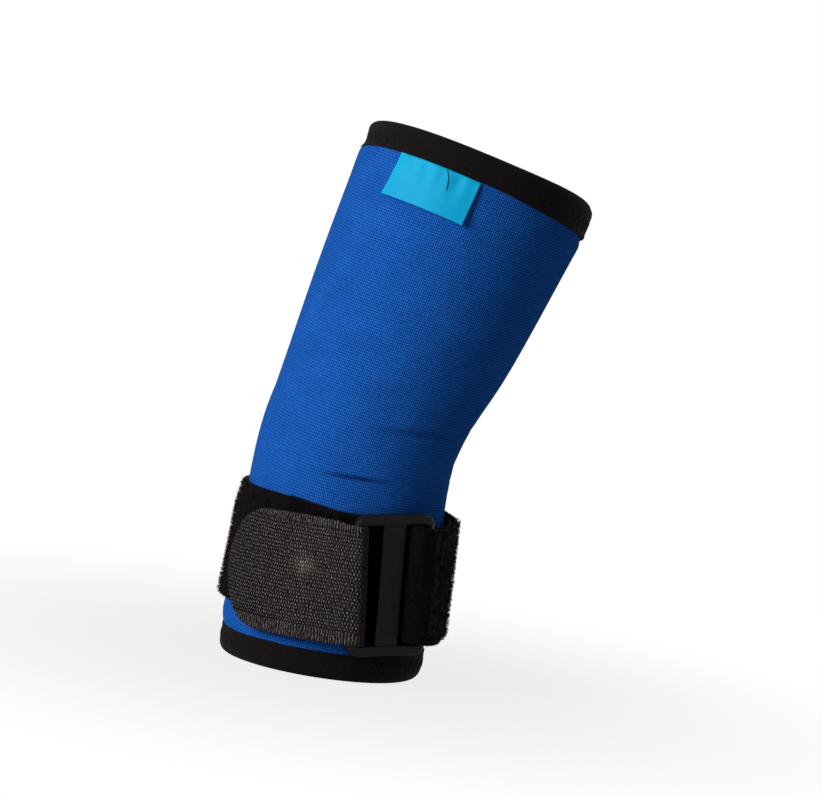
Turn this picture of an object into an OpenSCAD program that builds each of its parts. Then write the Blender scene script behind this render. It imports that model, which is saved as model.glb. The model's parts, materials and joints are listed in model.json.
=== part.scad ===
// Elbow support sleeve with an adjustable forearm strap.
// Lengths are in millimetres and angles in degrees.
// The lower rim stands on z = 0 with the forearm along +Z, the sleeve bends towards +X,
// and the buckle faces -Y. Clock angles run from the buckle towards +X.

/* [Sleeve] */
// Outer radius of the forearm and elbow
sleeve_r = 43.5; // [40:0.5:47]
// Outer radius at the upper cuff
cuff_r = 52; // [48:0.5:56]
// Length from the lower rim to the middle of the bend
forearm_len = 90; // [90:1:105]
// Length from the middle of the bend to the upper rim
upper_len = 136; // [115:1:160]
// Angle of the bend as the sleeve is worn
bend = 18; // [12:1:22]
// Length from the middle of the bend to each end of its curve
bend_reach = 15; // [12:0.5:15]
// Length from the middle of the bend to the end of the stretch that flexes
flex_reach = 34; // [30:1:42]
// Thickness of the outer jersey
jersey_t = 0.6; // [0.4:0.1:1]
// Thickness of the foam core
foam_t = 2.6; // [2:0.1:3.4]
// Thickness of the inner lining
lining_t = 0.6; // [0.4:0.1:1]

/* [Binding] */
// Height of the folded tape
bind_h = 11.5; // [9:0.5:12.5]
// Thickness of the tape
bind_t = 1; // [0.7:0.1:1.4]
// Radius of the tape's folded corners
bind_round = 0.9; // [0.5:0.1:1.2]

/* [Sewing] */
// Length of one zigzag tooth
stitch_pitch = 6; // [4.5:0.5:8]
// Height of the zigzag on the bindings
stitch_h = 4.5; // [3:0.5:5]
// Width of the zigzag on the seam, the strap and the tab
stitch_w = 2.4; // [1.6:0.2:3.2]
// Thickness of the thread
thread_t = 0.5; // [0.3:0.05:0.6]

/* [Label] */
// Width of the flap
label_w = 39; // [25:1:48]
// Height of the flap below the binding
label_h = 19; // [12:0.5:26]
// Thickness of the flap
label_t = 0.5; // [0.3:0.1:0.8]
// How far the flap's free edge stands off the sleeve
label_lift = 1.4; // [0.6:0.2:3]
// Clock angle of the flap's middle
label_clock = -50; // [-80:1:-30]

/* [Strap] */
// Width of the tape
strap_w = 50; // [46:0.5:51]
// Thickness of the tape with its pile
strap_t = 3; // [2.2:0.1:3.4]
// Height of the tape's middle, away from the buckle
strap_z = 49; // [47:0.5:49]
// Length of the end that is folded back round the buckle's bar
keeper_len = 38; // [30:1:44]

/* [Buckle] */
// Radius of each side bar
bar_r = 2.2; // [1.8:0.1:2.6]
// Distance from the buckle's middle to each side bar
bar_spread = 17; // [16:0.5:19]
// Width of the centre bar
centre_w = 11; // [8:0.5:12]
// Thickness of the centre bar
centre_t = 3; // [2.4:0.1:3.2]
// Height of each end bar
end_bar_h = 4.3; // [3.5:0.1:4.6]
// Radius of the frame's corners
corner_r = 5; // [3:0.5:7]
// Height of the buckle's middle
buckle_z = 43.4; // [43:0.2:46]
// Roll of the buckle about its own face
buckle_roll = 5; // [0:0.5:6]
// Number of grip grooves along the centre bar
groove_count = 4; // [2:1:5]

/* [Tab] */
// Width of the tab past the buckle
tab_w = 52; // [51:0.5:54]
// How far the tab's middle lies below the buckle's
tab_drop = 1; // [0:0.2:1.4]
// Thickness of the tab
tab_t = 1.8; // [1.2:0.1:2.2]
// Clock angle from the buckle to the tab's tip
tab_clock = 92; // [80:1:105]
// Length of the tab's rounded end
tip_len = 22; // [14:1:26]
// Thickness of the hook patch under the tab
hook_t = 1.2; // [0.8:0.1:1.6]
// Width of the hook patch
hook_w = 47; // [40:0.5:48]

/* [Hidden] */
$fn = 96;

// Clearances between bonded layers, between pieces that rest on each other, and round the bars
glue_gap = 0.1;
seat_gap = 0.3;
bar_gap = 0.3;
slot_play = 1.5;
frame_lip = 0.25;

// Sleeve layers, measured inwards from the outer face
foam_depth = jersey_t + glue_gap;
lining_depth = foam_depth + foam_t + glue_gap;
wall = lining_depth + lining_t;
raw_edge = bind_t + glue_gap;
cuff_len = bind_h + 1;

// The bend is a stretch of a ring's tube: its radius, and its stations along the sleeve's axis
bend_r = bend_reach / tan(bend / 2);
bend_from = forearm_len - bend_reach;
bend_to = bend_from + bend_r * bend * PI / 180;
flex_to = bend_to + flex_reach - bend_reach;
sleeve_len = bend_to + upper_len - bend_reach;

// The strap lies on the seam's thread, and the buckle's bars stand on the strap
strap_gap = thread_t + 3 * glue_gap;
lay_r = sleeve_r + strap_gap + strap_t / 2;
over_r = lay_r + strap_t + seat_gap;
keeper_r = bar_r + bar_gap + strap_t / 2;
bar_reach = lay_r + keeper_r + seat_gap;
bar_clock = asin(bar_spread / bar_reach);
buckle_y = bar_reach * cos(bar_clock);
slot_len = strap_w + slot_play;
frame_t = 2 * (bar_r + frame_lip);

// The clock angles over which the strap dips on each side, and how far it dips on the left
right_clock = 110;
left_clock = 42;
left_dip = 3;

// The roll lifts the middle of the right-hand bar by this much, and lowers that of the left-hand one
bar_shift = bar_spread * sin(buckle_roll);

// The strap's fold is slack: it reaches past the bar into the slot, and stops short of the centre bar
fold_slack = max(0, bar_spread - centre_w / 2 - keeper_r - strap_t / 2 - slot_play);
slack_clock = asin((bar_spread - fold_slack) / bar_reach);

// Where the strap's fold leaves the arm, meets the bar's front, and comes back to the arm
cross_clock = slack_clock + acos((lay_r + keeper_r) / bar_reach);
ease_clock = (slack_clock + bar_clock) / 2;
leave_clock = bar_clock + acos((over_r - keeper_r) / bar_reach);
keeper_clock = max(leave_clock, bar_clock + keeper_len / lay_r * 180 / PI);

// The tab lies on the hook patch, and the patch lies on the strap's pile
fold_r = bar_r + bar_gap + tab_t / 2;
hook_r = lay_r + strap_t / 2 + seat_gap + hook_t / 2;
tab_r = hook_r + hook_t / 2 + glue_gap + tab_t / 2;
tab_leave = bar_clock + acos((tab_r - fold_r) / bar_reach);
tip_clock = tip_len / tab_r * 180 / PI;
tab_z = buckle_z - tab_drop;

// The strap stops where the turning fold of the tab still clears it
fold_clear = fold_r + tab_t / 2 + seat_gap;
band_top = lay_r + strap_t / 2;
band_stop = bar_clock + 1
    + acos((bar_reach ^ 2 + band_top ^ 2 - fold_clear ^ 2) / (2 * bar_reach * band_top));

jersey_blue = [0.08, 0.32, 0.63];
lining_blue = [0.07, 0.22, 0.45];
foam_grey = [0.16, 0.16, 0.17];
tape_black = [0.07, 0.06, 0.07];
thread_black = [0.11, 0.10, 0.11];
label_cyan = [0.13, 0.71, 0.91];
tab_grey = [0.18, 0.16, 0.16];

function smooth(t) = let (c = max(0, min(1, t))) c * c * (3 - 2 * c);
function steps(from, to, count) = [for (i = [0 : count]) from + (to - from) * i / count];
function clock(r, a, z) = [r * sin(a), -r * cos(a), z];

// Sleeve radius at a length from the bend's middle, along the upper arm
function upper_r(s) =
    sleeve_r + (cuff_r - sleeve_r) * max(0, min(1, (s - bend_reach) / (upper_len - cuff_len - bend_reach)));

// Tilt, axis point and radius at a length along the sleeve's axis
function tilt_at(s) = max(0, min(bend, (s - bend_from) / bend_r * 180 / PI));
function axis_at(s) =
    s <= bend_from ? [0, 0, s]
    : let (t = tilt_at(s), past = max(0, s - bend_to))
        [bend_r * (1 - cos(t)) + past * sin(t), 0, bend_from + bend_r * sin(t) + past * cos(t)];
function radius_at(s) = upper_r(s - bend_to + bend_reach);

// Four corners of a thread where it turns: p on the surface, n outwards, m across the thread
function turn(p, n, m) =
    let (h = 0.9 * thread_t * m, t = thread_t * n) [p - h, p + t - h, p + t + h, p + h];

// A zigzag round a clock range at a radius and height, and one that runs up at a clock angle
function zigzag_round(r, z, h, from, to, count) =
    [for (i = [0 : count]) let (a = from + (to - from) * i / count, s = i % 2 == 0 ? -1 : 1)
        turn(clock(r, a, z + s * h / 2), clock(1, a, 0), [0, 0, 1])];
function zigzag_up(r, a, from, to, count) =
    [for (i = [0 : count]) let (b = a + (i % 2 == 0 ? -1 : 1) * stitch_w / 2 / r * 180 / PI)
        turn(clock(r, b, from + (to - from) * i / count), clock(1, b, 0), -clock(1, b + 90, 0))];

// A zigzag along the rear of the sleeve, between two lengths of its axis
function zigzag_seam(from, to) =
    let (count = 2 * floor((to - from) / stitch_pitch))
    [for (i = [0 : count])
        let (s = from + (to - from) * i / count, t = tilt_at(s),
            d = (i % 2 == 0 ? -1 : 1) * stitch_w / 2, r = radius_at(s) + glue_gap,
            across = [cos(t), 0, -sin(t)])
        turn(axis_at(s) + d * across + [0, sqrt(r * r - d * d), 0], [0, 1, 0], across)];

// A solid through a row of four-cornered sections, closed into a loop or capped at both ends
module swept(quads, closed = false) {
    n = len(quads);
    last = closed ? n - 1 : n - 2;
    sides = [for (i = [0 : last], k = [0 : 3])
        let (j = (i + 1) % n, a = 4 * i + k, b = 4 * i + (k + 1) % 4, c = 4 * j + (k + 1) % 4, d = 4 * j + k)
        each [[a, b, c], [a, c, d]]];
    e = 4 * (n - 1);
    caps = closed ? [] : [[2, 1, 0], [3, 2, 0], [e, e + 1, e + 2], [e, e + 2, e + 3]];
    polyhedron([for (q = quads) each q], concat(sides, caps), convexity = 10);
}

// Places its children on the upper arm, with the bend's middle as origin
module on_upper() {
    translate([0, 0, forearm_len]) rotate([0, bend, 0]) children();
}

// One layer of each stretch of the sleeve: depth below the outer face, and thickness
module forearm_layer(depth, t) {
    rotate_extrude() translate([sleeve_r - depth - t, raw_edge])
        square([t, bend_from - glue_gap - raw_edge]);
}

// The elbow is the curve and the straight stretch above it that flexes too
module elbow_layer(depth, t) {
    translate([bend_r, 0, bend_from]) rotate([90, 0, 180]) rotate_extrude(angle = bend)
        translate([bend_r, 0]) difference() {
            circle(sleeve_r - depth);
            circle(sleeve_r - depth - t);
        }
    on_upper() upper_profile(bend_reach + glue_gap, flex_reach, depth, t);
}

module upper_layer(depth, t) {
    on_upper() union() {
        upper_profile(flex_reach + seat_gap, upper_len - cuff_len, depth, t);
        upper_profile(upper_len - cuff_len, upper_len - raw_edge, depth, t);
    }
}

module upper_profile(from, to, depth, t) {
    rotate_extrude() polygon([
        [upper_r(from) - depth - t, from],
        [upper_r(from) - depth, from],
        [upper_r(to) - depth, to],
        [upper_r(to) - depth - t, to]]);
}

// The folded tape round a rim of a given outer radius, with the rim's edge at z = 0
module binding_ring(r) {
    inner = r - wall - glue_gap - bind_t;
    full = wall + 2 * (glue_gap + bind_t);
    rotate_extrude() difference() {
        union() {
            translate([inner + bind_round, 0]) square([full - 2 * bind_round, bind_h]);
            translate([inner, bind_round]) square([full, bind_h - bind_round]);
            for (x = [inner + bind_round, inner + full - bind_round])
                translate([x, bind_round]) circle(bind_round);
        }
        translate([r - wall - glue_gap, bind_t]) square([wall + 2 * glue_gap, bind_h]);
    }
}

module binding_zigzag(r) {
    face = r + bind_t + 2 * glue_gap;
    teeth = floor(2 * PI * face / stitch_pitch);
    ring = zigzag_round(face, bind_h * 0.6, stitch_h, 0, 360, 2 * teeth);
    swept([for (i = [0 : 2 * teeth - 1]) ring[i]], closed = true);
}

// Sideways shift of a height that follows the buckle's roll
function lean(z) = -tan(buckle_roll) * (z - buckle_z);

// Sections of tape: on the arm, round a line at the right-hand bar, and part way between two others.
// A roll of 1 follows the right-hand bar, and of -1 the left-hand one, mirrored
function arm_section(a, r, t, low, high) =
    let (inner = r - t / 2, outer = r + t / 2)
    [clock(inner, a, low), clock(outer, a, low), clock(outer, a, high), clock(inner, a, high)];
function bar_section(a, r, t, roll, across = bar_spread) =
    let (mid = buckle_z + roll * across * sin(buckle_roll), y = sqrt(bar_reach ^ 2 - across ^ 2))
    [for (p = arm_section(a, r, t, mid - strap_w / 2, mid + strap_w / 2))
        p + [across + roll * lean(p[2]), -y, 0]];
function between(q, s, f) = [for (i = [0 : 3]) q[i] + (s[i] - q[i]) * f];

// Height of the strap's middle at a clock angle: it dips slowly towards the right-hand bar,
// and a little towards the left-hand one
function strap_mid(a) =
    let (right_dip = strap_z - buckle_z - bar_shift)
    strap_z - right_dip * smooth((bar_clock + right_clock - a) / right_clock)
        - left_dip * smooth((a - 360 + bar_clock + left_clock) / left_clock);
function strap_section(a, r, t) =
    arm_section(a, r, t, strap_mid(a) - strap_w / 2, strap_mid(a) + strap_w / 2);

// Half width of the tab and of the hook patch at a clock angle, with an elliptic tip
function tip_half(a, half) =
    half * sqrt(1 - (0.97 * max(0, (a - tab_clock + tip_clock) / tip_clock)) ^ 2);

module forearm_jersey() { color(jersey_blue) forearm_layer(0, jersey_t); }
module forearm_foam() { color(foam_grey) forearm_layer(foam_depth, foam_t); }
module forearm_lining() { color(lining_blue) forearm_layer(lining_depth, lining_t); }

module elbow_jersey() { color(jersey_blue) elbow_layer(0, jersey_t); }
module elbow_foam() { color(foam_grey) elbow_layer(foam_depth, foam_t); }
module elbow_lining() { color(lining_blue) elbow_layer(lining_depth, lining_t); }

module upper_jersey() { color(jersey_blue) upper_layer(0, jersey_t); }
module upper_foam() { color(foam_grey) upper_layer(foam_depth, foam_t); }
module upper_lining() { color(lining_blue) upper_layer(lining_depth, lining_t); }

module lower_binding() { color(tape_black) binding_ring(sleeve_r); }

module upper_binding() {
    color(tape_black) on_upper() translate([0, 0, upper_len]) rotate([180, 0, 0]) binding_ring(cuff_r);
}

module lower_binding_thread() { color(thread_black) binding_zigzag(sleeve_r); }

module upper_binding_thread() {
    color(thread_black) on_upper() translate([0, 0, upper_len]) rotate([180, 0, 0]) binding_zigzag(cuff_r);
}

module forearm_seam_thread() {
    color(thread_black) swept(zigzag_seam(bind_h + thread_t, bend_from - thread_t));
}

module elbow_seam_thread() {
    color(thread_black) swept(zigzag_seam(bend_from + thread_t, flex_to - thread_t));
}

module upper_seam_thread() {
    color(thread_black) swept(zigzag_seam(flex_to + 2 * thread_t, sleeve_len - cuff_len - thread_t));
}

// The flap hangs from the upper binding's edge, and its free edge stands off a little
module label() {
    top = upper_len - bind_h - seat_gap;
    foot = top - label_h;
    top_r = upper_r(top) + seat_gap;
    foot_r = upper_r(foot) + label_lift;
    span = label_w / top_r * 180 / PI;
    color(label_cyan) on_upper() rotate([0, 0, label_clock - 90 - span / 2]) rotate_extrude(angle = span)
        polygon([[top_r, top], [top_r + label_t, top], [foot_r + label_t, foot], [foot_r, foot]]);
}

// One tape: the end under the fold, round the bar, over itself, and round the arm
module strap() {
    drop_from = keeper_clock + 3;
    drop_to = keeper_clock + 20;
    sections = concat(
        [for (a = steps(keeper_clock, cross_clock, 6)) strap_section(a, lay_r, -strap_t)],
        [for (a = steps(cross_clock + 180, ease_clock + 360, 14))
            bar_section(a, keeper_r, strap_t, 1, bar_spread - fold_slack)],
        [for (a = steps(ease_clock, leave_clock, 4)) bar_section(a, keeper_r, strap_t, 1)],
        [for (a = steps(leave_clock, drop_from, 5)) strap_section(a, over_r, strap_t)],
        [for (f = steps(0.2, 1, 4)) let (a = drop_from + f * (drop_to - drop_from))
            strap_section(a, over_r + (lay_r - over_r) * smooth(f), strap_t)],
        [for (a = steps(drop_to + 5, 360 - band_stop, 46)) strap_section(a, lay_r, strap_t)]);
    color(tape_black) swept(sections);
}

module keeper_thread() {
    color(thread_black) swept(zigzag_up(over_r + strap_t / 2 + glue_gap, keeper_clock - 4,
        strap_z - strap_w / 2 + 4, strap_z + strap_w / 2 - 4, 2 * floor(strap_w / stitch_pitch)));
}

module strap_anchor_thread() {
    color(thread_black) swept(zigzag_up(lay_r + strap_t / 2 + glue_gap, 180,
        strap_z - strap_w / 2 + 3, strap_z + strap_w / 2 - 3, 2 * floor(strap_w / stitch_pitch)));
}

// Two round side bars and a grooved centre bar between two end bars
module buckle() {
    half_w = bar_spread + bar_r + frame_lip;
    half_h = slot_len / 2 + end_bar_h;
    recess = 1;
    groove = centre_w / (2 * groove_count + 1);
    face = -frame_t / 2 + recess;
    color([0.09, 0.08, 0.09]) translate([0, -buckle_y, buckle_z]) rotate([0, -buckle_roll, 0]) {
        for (turn_over = [0, 180]) rotate([0, turn_over, 0]) {
            rotate([90, 0, 0]) linear_extrude(frame_t, center = true) intersection() {
                union() {
                    square([2 * (half_w - corner_r), 2 * half_h], center = true);
                    square([2 * half_w, 2 * (half_h - corner_r)], center = true);
                    for (side = [-1, 1])
                        translate([side * (half_w - corner_r), half_h - corner_r]) circle(corner_r);
                }
                translate([-half_w, slot_len / 2]) square([2 * half_w, end_bar_h]);
            }
            translate([bar_spread, 0, 0]) cylinder(r = bar_r, h = slot_len + end_bar_h, center = true);
        }
        difference() {
            translate([-centre_w / 2, face, -slot_len / 2 - 1]) cube([centre_w, centre_t, slot_len + 2]);
            for (i = [1 : groove_count])
                translate([(2 * i - 1) * groove - centre_w / 2, face - 1, -slot_len * 0.42])
                    cube([groove, 1.5, slot_len * 0.84]);
        }
    }
}

// The strap's free end: round the left-hand bar and back along the strap, built on the right and mirrored.
// It is as narrow as the slot in the buckle, and widens as soon as it is clear of the frame
module closing_tab() {
    neck_z = buckle_z - bar_shift;
    on_bar = [for (a = steps(bar_clock + 180, tab_leave + 360, 16)) bar_section(a, fold_r, tab_t, -1)];
    on_strap = [for (a = steps(tab_leave, tab_clock, 18)) let (half = tip_half(a, tab_w / 2))
        arm_section(a, tab_r, tab_t, tab_z - half, tab_z + half)];
    low = tab_z - tab_w / 2;
    high = tab_z + tab_w / 2;
    neck_end = arm_section(tab_leave, tab_r, tab_t, neck_z - strap_w / 2, neck_z + strap_w / 2);
    neck = between(on_bar[16], neck_end, 0.28);
    clear = between(on_bar[16], neck_end, 0.4);
    wide = [for (i = [0 : 3]) [clear[i][0], clear[i][1], i < 2 ? low : high]];
    color(tab_grey) mirror([1, 0, 0]) swept(concat(on_bar, [neck, wide], on_strap));
}

module hook_patch() {
    sections = [for (a = steps(tab_leave + 3, tab_clock - 4, 14)) let (half = tip_half(a + 4, hook_w / 2))
        arm_section(a, hook_r, hook_t, tab_z - half, tab_z + half)];
    color(thread_black) mirror([1, 0, 0]) swept(sections);
}

module hook_patch_thread() {
    from = tab_leave + 3;
    to = tab_clock - tip_clock;
    count = 2 * floor((to - from) * PI / 180 * tab_r / stitch_pitch);
    row_z = hook_w / 2 - stitch_w;
    color(thread_black) mirror([1, 0, 0]) for (s = [-1, 1])
        swept(zigzag_round(tab_r + tab_t / 2 + glue_gap, tab_z + s * row_z, stitch_w, from, to, count));
}

forearm_jersey();
forearm_foam();
forearm_lining();
elbow_jersey();
elbow_foam();
elbow_lining();
upper_jersey();
upper_foam();
upper_lining();
lower_binding();
upper_binding();
lower_binding_thread();
upper_binding_thread();
forearm_seam_thread();
elbow_seam_thread();
upper_seam_thread();
label();
strap();
keeper_thread();
strap_anchor_thread();
buckle();
closing_tab();
hook_patch();
hook_patch_thread();
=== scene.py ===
# %% [markdown]
# # An elbow support sleeve with a forearm strap
# The real object is a tube of neoprene sheet, faced inside and out with nylon jersey and bound with
# black tape at both ends. A strap of loop pile goes round the forearm, through a slide buckle, and
# its free end folds back and grips the pile.
# The imported solids are loaded first, as the frame that every piece is built on. Fabric is then made
# again as fabric, and most pieces ride on the body that carries them.

# %% Load the frame
import json
import math

import bpy
import numpy as np
from mathutils import Matrix


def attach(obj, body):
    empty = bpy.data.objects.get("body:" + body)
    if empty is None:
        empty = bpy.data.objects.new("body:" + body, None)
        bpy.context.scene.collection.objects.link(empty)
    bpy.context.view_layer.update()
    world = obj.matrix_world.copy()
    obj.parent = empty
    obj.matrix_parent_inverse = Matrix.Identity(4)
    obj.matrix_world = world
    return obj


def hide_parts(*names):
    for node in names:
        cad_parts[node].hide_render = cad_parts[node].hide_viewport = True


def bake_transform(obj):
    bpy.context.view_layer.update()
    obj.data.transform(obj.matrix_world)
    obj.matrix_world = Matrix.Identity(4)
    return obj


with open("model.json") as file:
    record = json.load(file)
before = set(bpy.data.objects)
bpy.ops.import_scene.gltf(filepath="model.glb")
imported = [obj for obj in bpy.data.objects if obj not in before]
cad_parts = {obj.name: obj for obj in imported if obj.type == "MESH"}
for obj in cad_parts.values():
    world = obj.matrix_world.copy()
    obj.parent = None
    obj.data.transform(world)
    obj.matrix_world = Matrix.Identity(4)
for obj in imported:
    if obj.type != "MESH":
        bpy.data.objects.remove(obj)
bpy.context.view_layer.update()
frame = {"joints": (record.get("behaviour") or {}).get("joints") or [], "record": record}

# %% [markdown]
# ## Sizes
# Every length is in millimetres and every angle in degrees. Clock angles run round the sleeve from
# the buckle, at -Y, towards the crook of the elbow, at +X. What the frame can tell is read from it:
# the bend from the upper cuff's axis, and the radii from the cuffs' bores.

# %% Sizes of the sleeve
joint = {j["name"]: j for j in frame["joints"]}
mount = {m["name"]: m for m in frame["record"]["mounts"]}


def in_mm(point):
    """A point of the frame, in millimetres."""
    return np.array(point, float) * 1000


wall = 4.0
glue = 0.1
tape_t = 1.0
tape_round = 0.9
binding_h = 11.5
elbow = in_mm(joint["elbow_flex"]["pos_m"])
upper_axis = np.array(mount["upper_cuff"]["axis"])
bend = math.atan2(upper_axis[0], upper_axis[2])
sleeve_r = mount["forearm_cuff"]["dims"]["r_mm"] + tape_t + glue + wall
cuff_r = mount["upper_cuff"]["dims"]["r_mm"] + tape_t + glue + wall
upper_len = np.linalg.norm(in_mm(mount["upper_cuff"]["pos_m"]) - elbow) + tape_round
bend_reach = 15.0
bend_r = bend_reach / math.tan(bend / 2)
bend_from = elbow[2] - bend_reach
bend_to = bend_from + bend_r * bend
sleeve_len = bend_to + upper_len - bend_reach
print(f"sleeve {sleeve_len:.1f} mm long, {2 * sleeve_r:.0f} and {2 * cuff_r:.0f} mm across")

# %% [markdown]
# ## A surface to build on
# The sleeve is a bent tube, so a point on it is best named by its length along the bent axis, its
# clock angle and its distance from the axis. One function turns those three into a place, and all
# the layers, bindings, threads and the label use it, so they always lie on each other.


# %% Places on the sleeve
def axis_at(s):
    """The axis point's x and z, and the tilt in radians, at lengths s along the sleeve."""
    tilt = np.clip((s - bend_from) / bend_r, 0, bend)
    past = np.maximum(0, s - bend_to)
    x = bend_r * (1 - np.cos(tilt)) + past * np.sin(tilt)
    z = np.minimum(s, bend_from) + bend_r * np.sin(tilt) + past * np.cos(tilt)
    return x, z, tilt


def on_sleeve(s, clock, r):
    """Places at lengths s, clock angles and distances r from the axis; the arrays broadcast."""
    x, z, tilt = axis_at(s)
    across = r * np.sin(np.radians(clock))
    out = -r * np.cos(np.radians(clock))
    return np.stack(np.broadcast_arrays(x + across * np.cos(tilt), out, z - across * np.sin(tilt)), -1)


def off_sleeve(places):
    """The other way: the length along the sleeve and the clock angle of places on it."""
    x, y, z = places.T
    tilt = np.arctan2(z - bend_from, bend_r - x)
    end_x, end_z, _ = axis_at(bend_to)
    past = (x - end_x) * math.sin(bend) + (z - end_z) * math.cos(bend)
    s = np.where(z < bend_from, z, np.where(past > 0, bend_to + past, bend_from + bend_r * tilt))
    axis_x, axis_z, tilt = axis_at(s)
    across = (x - axis_x) * np.cos(tilt) - (z - axis_z) * np.sin(tilt)
    return s, np.degrees(np.arctan2(across, -y))


def smooth(t):
    """A soft step from 0 to 1."""
    t = np.clip(t, 0, 1)
    return t * t * (3 - 2 * t)


def radius_at(s):
    """The sleeve widens evenly from the bend to the upper cuff."""
    cone_len = upper_len - bend_reach - binding_h - 1
    return sleeve_r + (cuff_r - sleeve_r) * np.clip((s - bend_to) / cone_len, 0, 1)


print("top of the sleeve at", np.round(on_sleeve(sleeve_len, 0.0, 0.0), 1))

# %% [markdown]
# ## Creases
# Worn neoprene is never a perfect tube: it has short soft grooves where it has bent, a slight waist
# at the elbow, a shallow seam at the rear, and the sewn bindings squeeze its ends. They could be
# painted as bump, but then the outline stays perfect, so each is a small shift of the surface
# itself. Each crease is a line between two places on the sleeve, with a depth and a width.

# %% Creases and hollows
# from clock, to clock, from length, to length, depth, width
creases = [
    (-50, -3, 83.0, 85.0, 0.9, 0.8),
    (-30, 30, 101.5, 115.0, 0.4, 1.8),
    (10, 62, 117.0, 122.5, 0.25, 1.8),
    (55, 130, 84.0, 85.0, 0.45, 2.0),
    (50, 135, 94.0, 95.0, 0.55, 2.4),
    (58, 128, 104.0, 104.5, 0.45, 2.2),
]
# how far out, at length, over length, at clock, over clock
crook_hollow = (-3.1, 118, 20, 85, 50)
rear_hollow = (-1.0, 78, 16, -105, 55)
heel_swell = (1.2, 18, 6, -115, 45)
# how far out, radians a millimetre along the sleeve, waves round it, start
ripples = [(0.12, 0.071, 2, 0), (0.1, 0.043, -3, 1)]
waist_depth = 0.7
waist_at = elbow[2] + 6
waist_len = 34
seam_depth = 0.35
seam_half_w = 0.7
binding_squeeze = 0.55
squeezed_h = 13.5
squeeze_fade = 3
plain_end = 12
plain_fade = 14
# clock and width of the places where the rims are drawn in, and how far they are
lower_tuck = (40, 34)
rear_tuck = (-115, 55)
crook_tuck = (75, 45)
lower_tuck_depth = 1.0
rear_tuck_depth = 1.6
crook_tuck_depth = 1.2
lower_tuck_h = 8
print(len(creases), "creases and", len(ripples), "ripples")


# %% Bells, domes and grooves
def bell(x, at, width):
    """1 at a place, falling away to nothing on both sides."""
    return np.exp(-(((x - at) / width) ** 2))


def near_clock(clock, at, width):
    """A bell over clock angles, the short way round."""
    return bell((clock - at + 180) % 360 - 180, 0, width)


def dome(s, clock, out, at, length, at_clock, width):
    """A soft rise around a place on the sleeve, or a hollow if out is below 0."""
    return out * bell(s, at, length) * near_clock(clock, at_clock, width)


def crease_shift(s, clock, line):
    """A groove along a line, with a low ridge above it."""
    from_clock, to_clock, from_s, to_s, depth, width = line
    along = (clock - from_clock) / (to_clock - from_clock)
    fade = np.sin(np.pi * np.clip(along, 0, 1))
    across = (s - from_s - (to_s - from_s) * along) / width
    return depth * fade * (0.5 * bell(across, 1.8, 1) - bell(across, 0, 1))


print(f"the first crease is {-crease_shift(84.0, -26.5, creases[0]):.2f} mm deep at its middle")


# %% Relief of the sleeve
def rim_tuck(s, clock):
    """How far the rims are drawn in: the lower one at its edge towards the crook, the upper one by
    its stitching, most at the rear and the crook."""
    below = sleeve_len - s
    lower = lower_tuck_depth * near_clock(clock, *lower_tuck) * smooth((lower_tuck_h - s) / lower_tuck_h)
    rear = rear_tuck_depth * near_clock(clock, *rear_tuck) * bell(below, 7.5, 4)
    crook = crook_tuck_depth * near_clock(clock, *crook_tuck) * smooth((binding_h - below) / 5)
    return lower + rear + crook


def relief(s, clock):
    """How far the sleeve's face stands out from the plain tube."""
    below = sleeve_len - s
    shift = -waist_depth * bell(s, waist_at, waist_len)
    shift = shift + dome(s, clock, *crook_hollow) + dome(s, clock, *rear_hollow)
    for out, pitch, waves, start in ripples:
        shift = shift + out * np.sin(pitch * s + waves * np.radians(clock) + start)
    shift = shift + sum(crease_shift(s, clock, line) for line in creases)
    inside_ends = smooth((s - plain_end) / plain_fade) * smooth((below - plain_end) / plain_fade)
    seam = seam_depth * bell(np.radians(180 - np.abs(clock)) * sleeve_r, 0, seam_half_w)
    squeezed = smooth((squeezed_h - s) / squeeze_fade) + smooth((squeezed_h - below) / squeeze_fade)
    bound = binding_squeeze * squeezed
    return shift * inside_ends + dome(s, clock, *heel_swell) - seam - bound - rim_tuck(s, clock)


print(f"the elbow's crook is drawn in {-relief(118.0, 85.0):.1f} mm")

# %% [markdown]
# ## Skins
# Most pieces are a row of closed outlines joined by quads: a ring of outlines makes a tube or a
# binding, an open row makes a tape or a thread. One function makes such a skin, with a UV map in
# millimetres, so that a weave drawn on it keeps its real thread spacing. Another turns one or more
# skins into an object with its material, in metres, and a third puts it on the body that carries it.


# %% Skins
def loft(sections, closed=False, u=None, v=None):
    """Join outlines, given as (rows, points, 3), and return points, faces and the corners' UVs."""
    sections = np.asarray(sections, float)
    rows, points, _ = sections.shape
    spans = rows if closed else rows - 1
    u = np.arange(spans + 1, dtype=float) if u is None else u
    v = np.arange(points + 1, dtype=float) if v is None else v
    i, j = np.meshgrid(np.arange(spans), np.arange(points), indexing="ij")
    corners = [(i, j), (i + 1, j), (i + 1, j + 1), (i, j + 1)]
    quads = np.stack([(a % rows) * points + b % points for a, b in corners], -1).reshape(-1, 4)
    maps = np.stack([np.stack([u[a], v[b]], -1) for a, b in corners], 2).reshape(-1, 4, 2)
    faces = [tuple(q) for q in quads.tolist()]
    uvs = maps.tolist()
    if not closed:
        for row, order in ((0, 1), (rows - 1, -1)):
            ring = range(points)[::order]
            faces.append(tuple(row * points + k for k in ring))
            uvs.append([(u[row], v[k]) for k in ring])
    return sections.reshape(-1, 3), faces, uvs


def volume(places, faces):
    """The volume inside a skin, below 0 if its faces look inwards."""
    total = 0.0
    for size in {len(f) for f in faces}:
        group = np.array([f for f in faces if len(f) == size])
        for k in range(1, size - 1):
            a, b, c = places[group[:, 0]], places[group[:, k]], places[group[:, k + 1]]
            total += np.einsum("ij,ij->i", a, np.cross(b, c)).sum() / 6
    return total


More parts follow.
